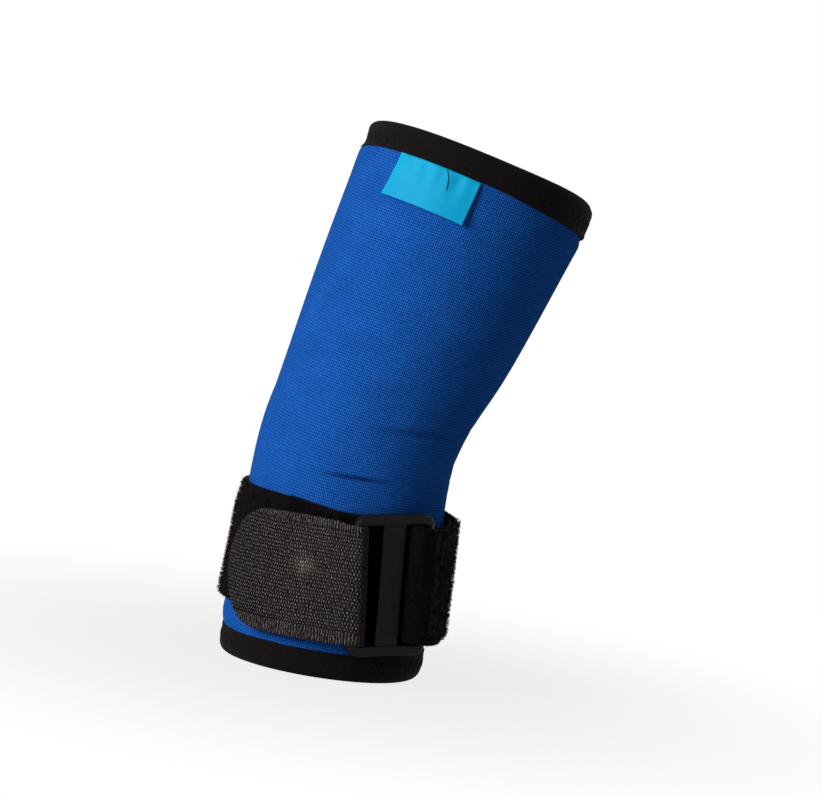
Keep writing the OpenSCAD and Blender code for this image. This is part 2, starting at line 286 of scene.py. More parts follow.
square = np.array([(0, 0, 0), (10, 0, 0), (10, 10, 0), (0, 10, 0)])
cube_places, cube_faces, _ = loft([square, square + np.array([0, 0, 10])])
print(f"a 10 mm cube holds {abs(volume(cube_places, cube_faces)):.0f} cubic millimetres")


# %% Pieces
def piece(name, skins, material):
    """One object from one or more skins, with its faces turned outwards."""
    places, faces, uvs, first = [], [], [], 0
    for skin_places, skin_faces, skin_uvs in skins:
        step = -1 if volume(skin_places, skin_faces) < 0 else 1
        faces += [tuple(first + k for k in f[::step]) for f in skin_faces]
        uvs += [m[::step] for m in skin_uvs]
        places.append(skin_places)
        first += len(skin_places)
    mesh = bpy.data.meshes.new(name)
    mesh.from_pydata((np.concatenate(places) / 1000).tolist(), [], faces)
    layer = mesh.uv_layers.new(name="mm")
    layer.data.foreach_set("uv", np.array([c for m in uvs for c in m], np.float32).ravel())
    mesh.polygons.foreach_set("use_smooth", [True] * len(mesh.polygons))
    mesh.materials.append(material)
    made = bpy.data.objects.new(name, mesh)
    bpy.context.scene.collection.objects.link(made)
    print(f"{name}: {len(mesh.vertices)} points, {len(mesh.polygons)} faces")
    return made


def carry(made, body, slot, *solids):
    """Let a piece ride on a body, in place of solids of the frame. The slot argument is not used."""
    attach(made, body)
    if solids:
        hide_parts(*solids)


# %% [markdown]
# ## Materials: the tools
# Colours are written as sRGB hex values, as a paint or a web page gives them, and turned to linear
# light once. One function adds a node, with its inputs set or linked. Patterns are drawn on the UV
# map, so their spacing is in millimetres.


# %% Node helpers
def linear(hex_colour):
    """An sRGB hex colour as linear light, with its alpha."""
    parts = [int(hex_colour[k : k + 2], 16) / 255 for k in (1, 3, 5)]
    return [c / 12.92 if c <= 0.04045 else ((c + 0.055) / 1.055) ** 2.4 for c in parts] + [1.0]


def feed(socket, source):
    """Set a socket to a constant, or link it to another socket. A node stands for its factor, or else
    for its first output that is in use."""
    if isinstance(source, bpy.types.Node):
        source = source.outputs.get("Fac") or next(out for out in source.outputs if out.enabled)
    if isinstance(source, bpy.types.NodeSocket):
        socket.id_data.links.new(source, socket)
    else:
        socket.default_value = source


def node(tree, kind, inputs=None, **settings):
    """Add a node, with its properties and its inputs, which are given by name or by number."""
    made = tree.nodes.new("ShaderNode" + kind)
    for name, value in settings.items():
        setattr(made, name, value)
    for key, source in (inputs or {}).items():
        feed(made.inputs[key], source)
    return made


def bands(period):
    """The Wave texture's scale for a pattern that repeats every so many millimetres."""
    return 2 * math.pi / 20 / period


print(f"mid grey is {linear('#808080')[0]:.3f} in linear light")


# %% Start and finish a material
def new_material(name, roughness, ior=1.5, **values):
    """A Principled material and its node tree, with its constants set straight on the shader."""
    material = bpy.data.materials.new(name)
    material.use_nodes = True
    shader = material.node_tree.nodes["Principled BSDF"]
    shader.inputs["Roughness"].default_value = roughness
    shader.inputs["IOR"].default_value = ior
    for key, value in values.items():
        shader.inputs[key.replace("_", " ")].default_value = value
    return material, material.node_tree


def dress(material, colour, height, strength, depth, sunk=False):
    """Give a material its colour, and a relief so many millimetres deep."""
    tree = material.node_tree
    relief_in = {"Height": height, "Strength": strength, "Distance": depth / 1000}
    shader = tree.nodes["Principled BSDF"]
    feed(shader.inputs["Base Color"], colour)
    feed(shader.inputs["Normal"], node(tree, "Bump", relief_in, invert=sunk))
    return material


def two_tone(material, dark, light, factor, height, strength, depth):
    """Finish a material whose colour goes from dark to light with a factor."""
    tones = {0: factor, 6: linear(dark), 7: linear(light)}
    tone = node(material.node_tree, "Mix", tones, data_type="RGBA")
    return dress(material, tone, height, strength, depth)


# %% [markdown]
# ## Nylon jersey
# The sleeve's face is a fine nylon jersey, with its rows of loops round the tube. Each loop's top
# catches the light. Where the face is seen square on they give a fine speckle; where it turns away,
# each row runs together into a light line round the sleeve. Two wave textures, one across and one
# along, draw both: their sum is low on the loops and high in the holes between, and a soft noise lets
# the speckle come and go. The loops are about 0.8 by 1.2 mm. The tab's coarser knit has each row set
# half a loop aside from the next, and there the product of the two waves draws it. The creases are
# given a darker line of painted shade. Inside the buckle's frame the jersey is painted near-black, as
# painted shade in the slots.


# %% Knit pattern
def knit_holes(tree, uv, column, row, crown, brim, wander):
    """A factor that is 1 in the holes of a knit with its columns and rows so many millimetres apart,
    and 0 on its loops. It rises from the crown of a loop, at minus crown, to the brim of a hole. Row
    is the spacing and the strength of the rows, and the selvedge that they stop at, if there is one."""
    row_pitch, row_swing, selvedge = row
    drift = node(tree, "TexNoise", {"Vector": uv, "Scale": 0.3, "Detail": 2.0})
    moved = {0: drift.outputs["Color"], 1: (wander, wander, 0), 2: uv}
    bent = node(tree, "VectorMath", moved, operation="MULTIPLY_ADD")
    sides = []
    for way, period, swing in (("X", column, 1), ("Y", row_pitch, row_swing)):
        wave = node(tree, "TexWave", {"Vector": bent, "Scale": bands(period)}, bands_direction=way)
        sides.append(node(tree, "MapRange", {"Value": wave, "To Min": -swing, "To Max": swing}))
    if selvedge is None:
        spots = node(tree, "Math", {0: sides[0], 1: sides[1]}, operation="ADD")
    else:
        plain = node(tree, "Mix", {0: selvedge, 2: sides[1], 3: -0.75})
        spots = node(tree, "Math", {0: sides[0], 1: plain}, operation="MULTIPLY")
    holes = node(tree, "MapRange", {"Value": spots, "From Min": -crown, "From Max": brim})
    cloud = node(tree, "TexNoise", {"Vector": uv, "Scale": 0.9, "Detail": 3.0})
    come_and_go = {"Value": cloud, "From Min": 0.3, "From Max": 0.7, "To Min": 0.75, "To Max": 1.15}
    clear = node(tree, "MapRange", come_and_go)
    return node(tree, "Math", {0: holes, 1: clear}, operation="MULTIPLY", use_clamp=True)


def in_patch(tree, uv, middle, half):
    """A factor that is 1 inside a rectangle on the UV map and fades out at its edges."""
    away = node(tree, "VectorMath", {0: uv, 1: (*middle, 0)}, operation="SUBTRACT")
    share = node(tree, "VectorMath", {0: away, 1: (*half, 1)}, operation="DIVIDE")
    size = node(tree, "VectorMath", {0: share}, operation="ABSOLUTE")
    sides = node(tree, "SeparateXYZ", {"Vector": size})
    far = node(tree, "Math", {0: sides.outputs["X"], 1: sides.outputs["Y"]}, operation="MAXIMUM")
    fade = {"Value": far, "From Min": 0.85, "From Max": 1.0, "To Min": 1.0, "To Max": 0.0}
    return node(tree, "MapRange", fade, interpolation_type="SMOOTHSTEP")


# %% Jersey material
def jersey(name, dark, ground, light, slot_shade_patch, column=0.8, row=1.155):
    """Ground shows between the loops and light on them, and dark is painted shade in the creases. The
    fifth argument is the middle and the half size of the patch painted near-black as shade where the
    buckle's slots are, in millimetres."""
    material, tree = new_material(name, 0.8, ior=1.53, Specular_IOR_Level=0.02)
    uv = node(tree, "UVMap", uv_map="mm")
    holes = knit_holes(tree, uv, column, (row, 0.7, None), crown=1.7, brim=1.0, wander=0.25)
    knit = node(tree, "Mix", {0: holes, 6: linear(light), 7: linear(ground)}, data_type="RGBA")
    cloud = node(tree, "TexNoise", {"Vector": uv, "Scale": 0.06, "Detail": 4.0, "Roughness": 0.65})
    wear = {"Value": cloud, "From Min": 0.3, "From Max": 0.7, "To Min": 0.88, "To Max": 1.1}
    worn = node(tree, "MapRange", wear)
    tone = node(tree, "HueSaturation", {"Value": worn, "Color": knit})
    # Painted shade: each crease is darkened towards the dark colour by its depth
    crease = node(tree, "Attribute", attribute_name="crease")
    crease_shaded = node(tree, "Mix", {0: crease, 6: tone, 7: linear(dark)}, data_type="RGBA")
    # Painted shade: a near-black patch where the buckle's slots lie in shadow
    patch = in_patch(tree, uv, *slot_shade_patch)
    slot_shaded = node(tree, "Mix", {0: patch, 6: crease_shaded, 7: linear("#040614")}, data_type="RGBA")
    return dress(material, slot_shaded, holes, 0.6, 0.3, sunk=True)


# Where the buckle's slots are, the jersey is painted near-black as shade
buckle_slot_shade = ((0.0, 43.4), (20.0, 28.5))
outer_jersey = jersey("nylon_jersey_blue", "#04205C", "#093F92", "#3088FA", buckle_slot_shade)
lining_jersey = jersey("nylon_jersey_navy", "#061530", "#0C2A5A", "#2458A8", buckle_slot_shade)
print("jersey:", outer_jersey.name, lining_jersey.name)

# %% [markdown]
# ## Neoprene foam
# The core is closed-cell chloroprene foam. It shows only as a thin dark edge if a binding is lifted,
# so a fine cell pattern is enough.

# %% Foam material
# A dull, near-black sponge, with 1800 cells a metre, which is coarser than real ones so that they show
foam, tree = new_material("neoprene_foam", 0.85, ior=1.52)
place = node(tree, "TexCoord").outputs["Object"]
cells = node(tree, "TexVoronoi", {"Vector": place, "Scale": 1800.0}, feature="F1")
two_tone(foam, "#161617", "#2C2C2E", cells, cells, 0.6, 0.3)
print("foam:", foam.name)

# %% [markdown]
# ## Sleeve layers
# Jersey, foam and lining are bonded into one sheet, so they could be one mesh with three finishes.
# They are three closed skins here, as the real laminate is, and the same relief runs through all of
# them. The elbow bends, so each layer follows the forearm below the bend, the upper arm above it,
# and turns smoothly between.

# %% Sizes of the layers
jersey_t = 0.6
foam_t = 2.6
lining_t = 0.6
foam_depth = jersey_t + glue
lining_depth = foam_depth + foam_t + glue
raw_edge = 2.4
crease_from = 78
crease_to = 130
bend_cut = 0.8
row_skew = 0.076
row_bow = 0.0004
print(f"laminate {lining_depth + lining_t:.1f} mm thick")


# %% Skin of a layer
def row_at(u, s):
    """Length along the jersey's columns, u being the way round. The sheet is cut to the bend, so most
    of the longer way round its outside is extra rows. The rows climb a little round the sleeve, and
    bow towards the seam."""
    longer = -np.sin(u / sleeve_r) * sleeve_r * axis_at(s)[2]
    return s + bend_cut * longer + row_skew * u - row_bow * u**2


def sleeve_layer(depth, thick, around, coarse, fine):
    """A closed skin that lies between two depths below the sleeve's face, with finer rows over the
    creases."""
    s = np.concatenate([
        np.arange(raw_edge, crease_from, coarse),
        np.arange(crease_from, crease_to, fine),
        np.linspace(crease_to, sleeve_len - raw_edge, round((sleeve_len - crease_to) / coarse)),
    ])
    clock = np.linspace(-180, 180, around, endpoint=False)
    face_s, face_clock = np.meshgrid(s, clock)
    r = radius_at(face_s) + relief(face_s, face_clock) - depth
    outer = on_sleeve(face_s, face_clock, r)
    inner = on_sleeve(face_s, face_clock, r - thick)
    u = np.radians(np.append(clock, 180)) * sleeve_r
    v = np.concatenate([s, s[::-1], s[:1]])
    places, faces, uvs = loft(np.concatenate([outer, inner[:, ::-1]], 1), True, u, v)
    u, v = np.moveaxis(np.array(uvs), -1, 0)
    return places, faces, np.stack([u, row_at(u, v)], -1).tolist()


print(f"the rows climb {row_at(60.0, 0.0) - row_at(-60.0, 0.0):.1f} mm round the front of the sleeve")


# %% Creases and the bend
def paint_crease_shade(made, strength=0.95):
    """Keep how deep each point lies in a crease, for the painted shade in the jersey's creases."""
    places = np.array([point.co for point in made.data.vertices]) * 1000
    s, clock = off_sleeve(places)
    depth = -sum(np.minimum(crease_shift(s, clock, line), 0) for line in creases)
    made.data.attributes.new("crease", "FLOAT", "POINT").data.foreach_set("value", strength * depth)


def bends_at_elbow(made):
    """Bake a piece's placement into its mesh. Nothing here bends it at the elbow."""
    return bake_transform(made)


# %% Build the three layers
# layer, depth, thickness, points round, row spacing away from the creases and over them
for layer, depth, thick, around, coarse, fine, material, slot in (
    ("jersey", 0, jersey_t, 240, 2.2, 0.5, outer_jersey, "outer_jersey"),
    ("foam", foam_depth, foam_t, 96, 4.0, 2.0, foam, "foam"),
    ("lining", lining_depth, lining_t, 160, 3.0, 1.5, lining_jersey, "lining_jersey"),
):
    made = piece("sleeve_" + layer, [sleeve_layer(depth, thick, around, coarse, fine)], material)
    bends_at_elbow(made)
    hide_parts("forearm_" + layer, "elbow_" + layer, "upper_" + layer)
    if layer == "jersey":
        paint_crease_shade(made)

# %% [markdown]
# ## Binding tape
# Both rims are bound with a black knitted tape, folded over the raw edge and sewn through with a
# zigzag. The thread pulls the tape in where the needle goes through, and between the holes the
# tape's raw edge lifts into small scallops. A bump could show the dents, but it would leave the edge
# straight, so the outline of the folded tape is turned round the sleeve, and each point is shifted.


# %% Binding material
def black_knit(name, dark, light, rib=0.9):
    """A dull knit, ribbed across the tape, whose lint catches a little light in places."""
    material, tree = new_material(name, 0.9, Specular_IOR_Level=0.06, Sheen_Weight=0.01)
    uv = node(tree, "UVMap", uv_map="mm")
    ribbed = {"Vector": uv, "Scale": bands(rib), "Distortion": 1.5, "Detail": 1.0}
    ribs = node(tree, "TexWave", ribbed, bands_direction="X")
    lint = node(tree, "TexNoise", {"Vector": uv, "Scale": 2.2, "Detail": 3.0, "Roughness": 0.7})
    height = node(tree, "Math", {0: ribs, 1: lint}, operation="MULTIPLY")
    return two_tone(material, dark, light, height, height, 0.5, 0.3)


binding_knit = black_knit("polyester_knit_black", "#120F0F", "#2A2524")
print("binding:", binding_knit.name)

# %% Shape of the folded tape
stitch_pitch = 6.0
stitch_h = 4.5
stitch_middle = 0.6 * binding_h
stitch_depth = 0.13
scallop = 0.1
# Height from the rim and distance outside the sleeve's face, from the outer raw edge over the fold
fold_outline = np.array([
    (11.5, -0.45), (11.55, 0.0), (11.3, 0.4), (10.6, 0.5), (9.6, 0.42), (8.4, 0.45), (7.0, 0.5),
    (5.5, 0.55), (4.0, 0.52), (2.8, 0.4), (1.8, 0.1), (1.0, -0.4), (0.4, -1.0), (0.1, -1.6),
    (0.0, -2.2), (0.1, -2.9), (0.4, -3.7), (1.0, -4.4), (1.8, -4.8), (2.8, -5.0), (5.0, -5.1),
    (8.0, -5.1), (10.8, -5.05), (11.5, -4.8), (11.5, -4.6), (8.0, -4.6), (4.0, -4.6), (1.9, -4.2),
    (1.5, -2.4), (1.9, -0.8), (4.0, -0.5), (8.0, -0.5),
])
outer_points = 11


def tooth_count(r):
    """How many zigzag teeth fit round a rim."""
    return math.floor(2 * math.pi * (r + 1.2) / stitch_pitch)


def needle_dents(h, turns):
    """How far the thread pulls the tape in, at heights h and at turns counted in teeth."""
    dent = 0.0
    for shift, at in ((0.0, stitch_middle + stitch_h / 2), (0.5, stitch_middle - stitch_h / 2)):
        along = (turns - shift + 0.5) % 1 - 0.5
        dent = dent + bell(along, 0, 0.2) * bell(h, at, 1.3)
    return -stitch_depth * dent + scallop * np.cos(2 * math.pi * (turns + 0.5)) * smooth((h - 9.8) / 1.4)


def lower_lie(h, clock):
    """How far the lower tape is moved along and out: its raw edge lies further in towards the crook."""
    return 2.0 * near_clock(clock, *lower_tuck) * smooth((h - 6) / 5), 0.0 * h


def upper_lie(h, clock):
    """The upper tape sits higher towards the crook, is wider there and at the rear, and is fuller."""
    along = 1.0 * near_clock(clock, -80, 60) * smooth((h - 2) / 7) - 2.8 * near_clock(clock, *crook_tuck)
    along = along - 3.0 * near_clock(clock, 28, 42) * smooth((8 - h) / 8)
    full = 0.5 * smooth(h / 2.5) * smooth((binding_h - h) / 5) * (1 - near_clock(clock, *rear_tuck))
    return along, full


print(tooth_count(sleeve_r), "and", tooth_count(cuff_r), "zigzag teeth round the rims")


# %% Build the bindings
def binding_skin(rim_s, inwards, r, lie, steps=8):
    """The folded tape round a rim; inwards is the way along the sleeve from the rim."""
    teeth = tooth_count(r)
    turns = np.arange(teeth * steps) / steps
    clock = 360 * turns / teeth
    h, out = fold_outline[:, 0][None, :], fold_outline[:, 1][None, :]
    along, fuller = lie(h, clock[:, None])
    shift = fuller * (out > -0.4) - rim_tuck(rim_s + inwards * h, clock[:, None])
    shift[:, :outer_points] += needle_dents(h[:, :outer_points], turns[:, None])
    wander = 0.12 * np.sin(5 * np.radians(clock)) + 0.08 * np.sin(11 * np.radians(clock) + 2)
    along = along + wander[:, None] * smooth((h - 6) / 5)
    places = on_sleeve(rim_s + inwards * (h + along), clock[:, None], r + out + shift)
    step = np.linalg.norm(np.diff(fold_outline, axis=0, append=fold_outline[:1]), axis=1)
    return loft(places, True, np.append(turns, teeth) * stitch_pitch, np.append(0, np.cumsum(step)))


# where the rim is, the way along the sleeve from it, radius, how the tape lies, and the body
rims = {
    "lower": (0, 1, sleeve_r, lower_lie, "forearm"),
    "upper": (sleeve_len, -1, cuff_r, upper_lie, "upper_arm"),
}
bindings = {}
for rim, (*tape, body) in rims.items():
    bindings[rim] = piece(rim + "_binding_tape", [binding_skin(*tape)], binding_knit)
    carry(bindings[rim], body, "binding_tape", rim + "_binding")

# %% [markdown]
# ## Sewing thread
# The seams are black polyester thread. A curve with a round bevel would do, but a mesh tube keeps
# its UVs. The zigzag is a triangle wave with its corners rounded, as thread turns round the needle
# hole.


# %% Thread material
def twisted_thread(name, dark, light, ply=0.6):
    """Plies twisted together, which show as a fine slanting stripe."""
    material, tree = new_material(name, 0.75, ior=1.55, Specular_IOR_Level=0.04)
    uv = node(tree, "UVMap", uv_map="mm")
    twist = node(tree, "Mapping", {"Vector": uv, "Rotation": (0, 0, math.radians(35))})
    plies = node(tree, "TexWave", {"Vector": twist, "Scale": bands(ply)}, bands_direction="X")
    return two_tone(material, dark, light, plies, plies, 0.5, 0.1)


thread = twisted_thread("polyester_thread_black", "#120F0F", "#262121")
print("thread:", thread.name)

# %% Tubes of thread
thread_r = 0.24
fine_thread_r = 0.16
seam_clock = 180
seam_stitch_w = 2.4
seam_steps = 2.4


def zigzag(turns):
    """From -1 to 1 and back once a turn, with rounded corners."""
    return np.arcsin(0.97 * np.sin(2 * math.pi * turns)) / math.asin(0.97)


def unit(vectors):
    """The same directions at length 1."""
    return vectors / np.linalg.norm(vectors, axis=-1, keepdims=True)


def tube(path, outwards, r=thread_r, closed=False, sides=6):
    """A round thread along a path; outwards is the direction away from the cloth at each point."""
    if closed:
        ahead = np.roll(path, -1, 0) - np.roll(path, 1, 0)
    else:
        ahead = np.gradient(path, axis=0)
    side = unit(np.cross(ahead, outwards))
    away = unit(np.cross(side, ahead))
    angle = 2 * math.pi * np.arange(sides) / sides
    ring = np.cos(angle)[None, :, None] * away[:, None, :] + np.sin(angle)[None, :, None] * side[:, None, :]
    u = np.arange(len(path) + (1 if closed else 0)) * 0.5
    return loft(path[:, None, :] + r * ring, closed, u, np.linspace(0, 2 * math.pi * r, sides + 1))


def thread_on_sleeve(s, clock, r, thick=thread_r, closed=False):
    """A thread that runs along places on the sleeve."""
    path = on_sleeve(s, clock, r)
    return tube(path, path - on_sleeve(s, clock, 0.0), thick, closed)


print(f"thread {2 * thread_r:.2f} mm thick, and {2 * fine_thread_r:.2f} mm where it is fine")


# %% Sew the bindings and the rear seam
def binding_stitch(rim_s, inwards, r, lie, steps=14):
    """The zigzag through a binding, as far in as its needle dents."""
    teeth = tooth_count(r)
    turns = np.arange(teeth * steps) / steps
    clock = 360 * turns / teeth
    h = stitch_middle + zigzag(turns + 0.25) * stitch_h / 2
    along, fuller = lie(h, clock)
    sink = needle_dents(h, turns) + fuller - rim_tuck(rim_s + inwards * h, clock)
    lift = np.interp(-h, -fold_outline[:outer_points, 0], fold_outline[:outer_points, 1])
    return thread_on_sleeve(rim_s + inwards * (h + along), clock, r + lift + sink - 0.02, closed=True)


def seam_stitch(from_s, to_s):
    """The zigzag that joins the sheet's edges at the rear."""
    s = np.linspace(from_s, to_s, round((to_s - from_s) * seam_steps))
    wave = zigzag((s - from_s) / stitch_pitch)
    clock = seam_clock + np.degrees(wave * seam_stitch_w / 2 / radius_at(s))
    turned = (clock + 180) % 360 - 180
    return thread_on_sleeve(s, clock, radius_at(s) + relief(s, turned) + 0.2)


for rim, (*tape, body) in rims.items():
    stitch = piece(rim + "_binding_stitch", [binding_stitch(*tape)], thread)
    carry(stitch, body, "thread", rim + "_binding_thread")
seam_end = binding_h + 0.8
rear_stitch = piece("rear_seam_stitch", [seam_stitch(seam_end, sleeve_len - seam_end)], thread)
bends_at_elbow(rear_stitch)
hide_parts("forearm_seam_thread", "elbow_seam_thread", "upper_seam_thread")

# %% [markdown]
# ## Label flap
# A small flap of light blue satin is sewn in under the upper binding. It is stiff for its size, so
# it hangs nearly flat while the sleeve curves away behind it, and its sewn edge puckers. A cloth
# simulation would need sub-millimetre cells for that, so the pucker and the lift are written as a
# height over the sleeve.

# %% Label material
# A soft gloss that fades a little in places, and upright warp lines, drawn coarser than the real threads
satin, tree = new_material("polyester_satin_cyan", 0.5, ior=1.52, Specular_IOR_Level=0.1)
uv = node(tree, "UVMap", uv_map="mm")
warp = node(tree, "TexWave", {"Vector": uv, "Scale": bands(0.7), "Distortion": 0.6}, bands_direction="X")
fade = node(tree, "TexNoise", {"Vector": uv, "Scale": 0.09, "Detail": 2.0})
two_tone(satin, "#0ABAF6", "#18CEFF", fade, warp, 0.25, 0.1)
print("label:", satin.name)

# %% Build the label
label_w = 39.0
label_h = 19.5
label_t = 0.35
label_clock = -50.0
label_top = sleeve_len - binding_h - 0.95


def label_lift(across, down):
    """Height of the flap over the sleeve; across is from -1 to 1, and down from 0 to 1."""
    hang = 0.35 + 1.5 * down**1.3 + 0.5 * down * across**2
    pucker = 0.4 * np.sin(7.5 * across + 0.6) + 0.25 * np.sin(17 * across + 2)
    corner_curl = 0.5 * smooth((down - 0.6) / 0.4) * smooth((-across - 0.5) / 0.5)
    return hang + 15 * pucker * down * np.exp(-6 * down) + corner_curl


def on_label(across, down):
    """Length along the sleeve, clock angle and distance from the axis of the flap's back."""
    s = label_top - label_h * down
    clock = label_clock + np.degrees(across * label_w / 2 / (cuff_r + 0.5))
    return s, clock, radius_at(s) + label_lift(across, down)


def label_skin():
    """The flap as a closed sheet, with its front and its back."""
    across = np.linspace(-1, 1, 61)
    down = np.linspace(0, 1, 25)
    s, clock, r = on_label(*np.meshgrid(across, down, indexing="ij"))
    front = on_sleeve(s, clock, r + label_t)
    back = on_sleeve(s, clock, r)
    v = label_h * np.concatenate([down, down[::-1], down[:1]])
    return loft(np.concatenate([front, back[:, ::-1]], 1), False, across * label_w / 2, v)


label = piece("label_flap", [label_skin()], satin)
carry(label, "label_flap", "label_satin", "label")

# %% Loose end of thread on the label
tail_down = np.linspace(0.02, 0.44, 14)
tail_across = 0.2 + 0.03 * np.sin(9 * tail_down) + 0.46 * tail_down
tail_s, tail_clock, tail_r = on_label(tail_across, tail_down)
tail = thread_on_sleeve(tail_s, tail_clock, tail_r + label_t + 0.15, fine_thread_r)
carry(piece("label_thread_tail", [tail], thread), "label_flap", "thread")

# %% [markdown]
# ## Tapes
# The strap and its tab are flat tapes that follow a path in plan: an arc round the arm, a straight
# stretch, an arc round a bar. A path is kept as plan points with the direction of the tape's face,
# spaced evenly along its length. A tape is then a rounded flat outline carried along the path.

# %% Sizes of the strap and the buckle
strap_w = 50.0
strap_t = 3.0
strap_gap = 0.8
strap_z = 49.0
right_clock = 110.0
left_clock = 42.0
left_dip = 3.0
sag_depth = 2.4
sag_place = (52, 27)
keeper_len = 38.0
bar_r = 2.2
bar_gap = 0.3
seat = 0.3
centre_w = 11.0
slot_play = 1.5
right_bar = in_mm(joint["buckle_swing"]["pos_m"])
left_bar = in_mm(joint["tab_peel"]["pos_m"])
bar_axis = np.array(joint["buckle_swing"]["axis"])
buckle_middle = (right_bar + left_bar) / 2
buckle_roll = math.atan2(-bar_axis[0], bar_axis[2])
bar_spread = np.linalg.norm(right_bar - left_bar) / 2
bar_reach = math.hypot(bar_spread, buckle_middle[1])
bar_clock = math.degrees(math.asin(bar_spread / bar_reach))
right_plan = np.array([bar_spread, buckle_middle[1]])
lay_r = sleeve_r + strap_gap + strap_t / 2
over_r = lay_r + strap_t + seat
keeper_r = bar_r + bar_gap + strap_t / 2
fold_slack = bar_spread - centre_w / 2 - keeper_r - strap_t / 2 - slot_play
slack_clock = math.degrees(math.asin((bar_spread - fold_slack) / bar_reach))
print(f"bars {2 * bar_spread:.1f} mm apart, at clock {bar_clock:.1f}")


# %% Paths in plan
def plan(clock):
    """The direction in plan at clock angles."""
    angle = np.radians(clock)
    return np.stack([np.sin(angle), -np.cos(angle)], -1)


def arc(centre, r, from_clock, to_clock, step=0.8):
    """Plan points and outward directions on an arc, about a step apart."""
    count = max(2, round(abs(math.radians(to_clock - from_clock)) * r / step))
    out = plan(np.linspace(from_clock, to_clock, count))
    return np.hstack([np.asarray(centre) + r * out, out])


def even(path, step):
    """The same path with evenly spaced points, and the length at each."""
    gaps = np.linalg.norm(np.diff(path[:, :2], axis=0), axis=1)
    length = np.append(0, np.cumsum(gaps))
    at = np.linspace(0, length[-1], round(length[-1] / step) + 1)
    spaced = np.stack([np.interp(at, length, column) for column in path.T], 1)
    spaced[:, 2:] = unit(spaced[:, 2:])
    return spaced, at


def clock_of(path):
    """The clock angles of a path's points, from 0 to 360."""
    return np.degrees(np.arctan2(path[:, 0], -path[:, 1])) % 360


def lean(path, z):
    """Sideways shift that follows a bar's roll, full near the bar and gone 24 mm from it."""
    away = np.linalg.norm(path[:, :2] - right_plan, axis=1)
    share = 1 - smooth((away - 10) / 14)
    return -math.tan(buckle_roll) * share[:, None] * (z - buckle_middle[2])


print(f"a quarter turn of the strap is {even(arc((0, 0), lay_r, 0, 90), 1.0)[1][-1]:.1f} mm long")


# %% Outline of a tape
def tape_outline(columns, turns=4):
    """Offset, place across and edge of a flat tape's outline, each from -1 to 1."""
    across = np.linspace(-1, 1, columns)
    half_turn = np.radians(np.linspace(-90, 90, turns + 1)[1:-1])
    ones = np.ones(columns)
    offset = np.concatenate([-ones, np.sin(half_turn), ones, np.sin(half_turn[::-1])])
    edge = np.concatenate([0 * ones, np.cos(half_turn), 0 * ones, -np.cos(half_turn)])
    place_across = np.concatenate([across, np.ones(turns - 1), across[::-1], -np.ones(turns - 1)])
    return offset, place_across, edge


def tape_points(path, mid, half_width, low, high, outline, sway=0.0):
    """The skin's points: a tape between two offsets from the path, with rounded edges."""
    offset, place_across, edge = outline
    half_t = (high - low) / 2
    out = (high + low) / 2 + half_t * offset[None, :] + np.zeros((len(path), 1)) + sway
    z = mid[:, None] + place_across[None, :] * (half_width[:, None] - half_t) + edge[None, :] * half_t
    x = path[:, 0:1] + path[:, 2:3] * out
    y = path[:, 1:2] + path[:, 3:4] * out
    return x, y, z


print("tape outline:", len(tape_outline(24)[0]), "points")

# %% [markdown]
# ## The strap's path
# The strap is one length of tape. Its end lies on the arm under the fold, goes round the buckle's
# right-hand bar in a slack loop that fills the slot, back over itself, and then on round the arm
# until it reaches the left-hand bar. A curve drawn by hand would do, but arcs worked out from the
# bars and the arm stay right when a size changes.

# %% Lay the strap's path
cross_clock = slack_clock + math.degrees(math.acos((lay_r + keeper_r) / bar_reach))
ease_clock = (slack_clock + bar_clock) / 2
leave_clock = bar_clock + math.degrees(math.acos((over_r - keeper_r) / bar_reach))
keeper_clock = bar_clock + math.degrees(keeper_len / lay_r)
drop_clock = keeper_clock + 3
drop_turn = 17
lead_clock = 308.0


def strap_mid(clock):
    """Height of the strap's middle: it dips slowly towards the right-hand bar, and a little towards
    the left-hand one."""
    to_right = smooth((bar_clock + right_clock - clock) / right_clock)
    to_left = smooth((clock - 360 + bar_clock + left_clock) / left_clock)
    sag = sag_depth * near_clock(clock, *sag_place)
    return strap_z - (strap_z - right_bar[2]) * to_right - left_dip * to_left - sag


def faces_out(path):
    """1 where the tape's face looks away from the arm, 0 where the tape runs back under itself."""
    return (path[:, :2] * path[:, 2:]).sum(1) > 0


drop_out = plan(np.array([drop_clock, drop_clock + drop_turn]))
drop = np.hstack([drop_out * np.array([[over_r], [lay_r]]), drop_out])
under = arc((0, 0), lay_r, keeper_clock, cross_clock)
under[:, 2:] *= -1
strap_path, strap_at = even(np.concatenate([
    under,
    arc(bar_reach * plan(slack_clock), keeper_r, cross_clock + 180, ease_clock + 360),
    arc(right_plan, keeper_r, ease_clock, leave_clock),
    arc((0, 0), over_r, leave_clock, drop_clock),
    drop,
    arc((0, 0), lay_r, drop_clock + drop_turn + 1, lead_clock),
]), 1.0)
print(f"strap: {strap_at[-1]:.0f} mm of tape")

# %% [markdown]
# ## Loop pile
# The strap's outer face is loop pile, brushed nylon loops about a millimetre and a half high. From
# near by it is a soft black velvet with a fuzzy outline. A hair system would show it, but it is lost
# when the part is exported, so each loop is a little bent tube in the mesh. Real loops are finer and
# far more; these are as coarse as they need to be to show.

# %% Pile material
# Light sinks in between the loops, so it is nearly black, in clumps about 4 mm across
loop_pile, tree = new_material(
    "nylon_loop_pile_black", 0.9, ior=1.53, Specular_IOR_Level=0.04, Sheen_Weight=0.02
)
place = node(tree, "TexCoord").outputs["Object"]
clumps = node(tree, "TexNoise", {"Vector": place, "Scale": 260.0, "Detail": 4.0, "Roughness": 0.7})
two_tone(loop_pile, "#090708", "#1E1A1C", clumps, clumps, 0.8, 0.8)
print("pile:", loop_pile.name)


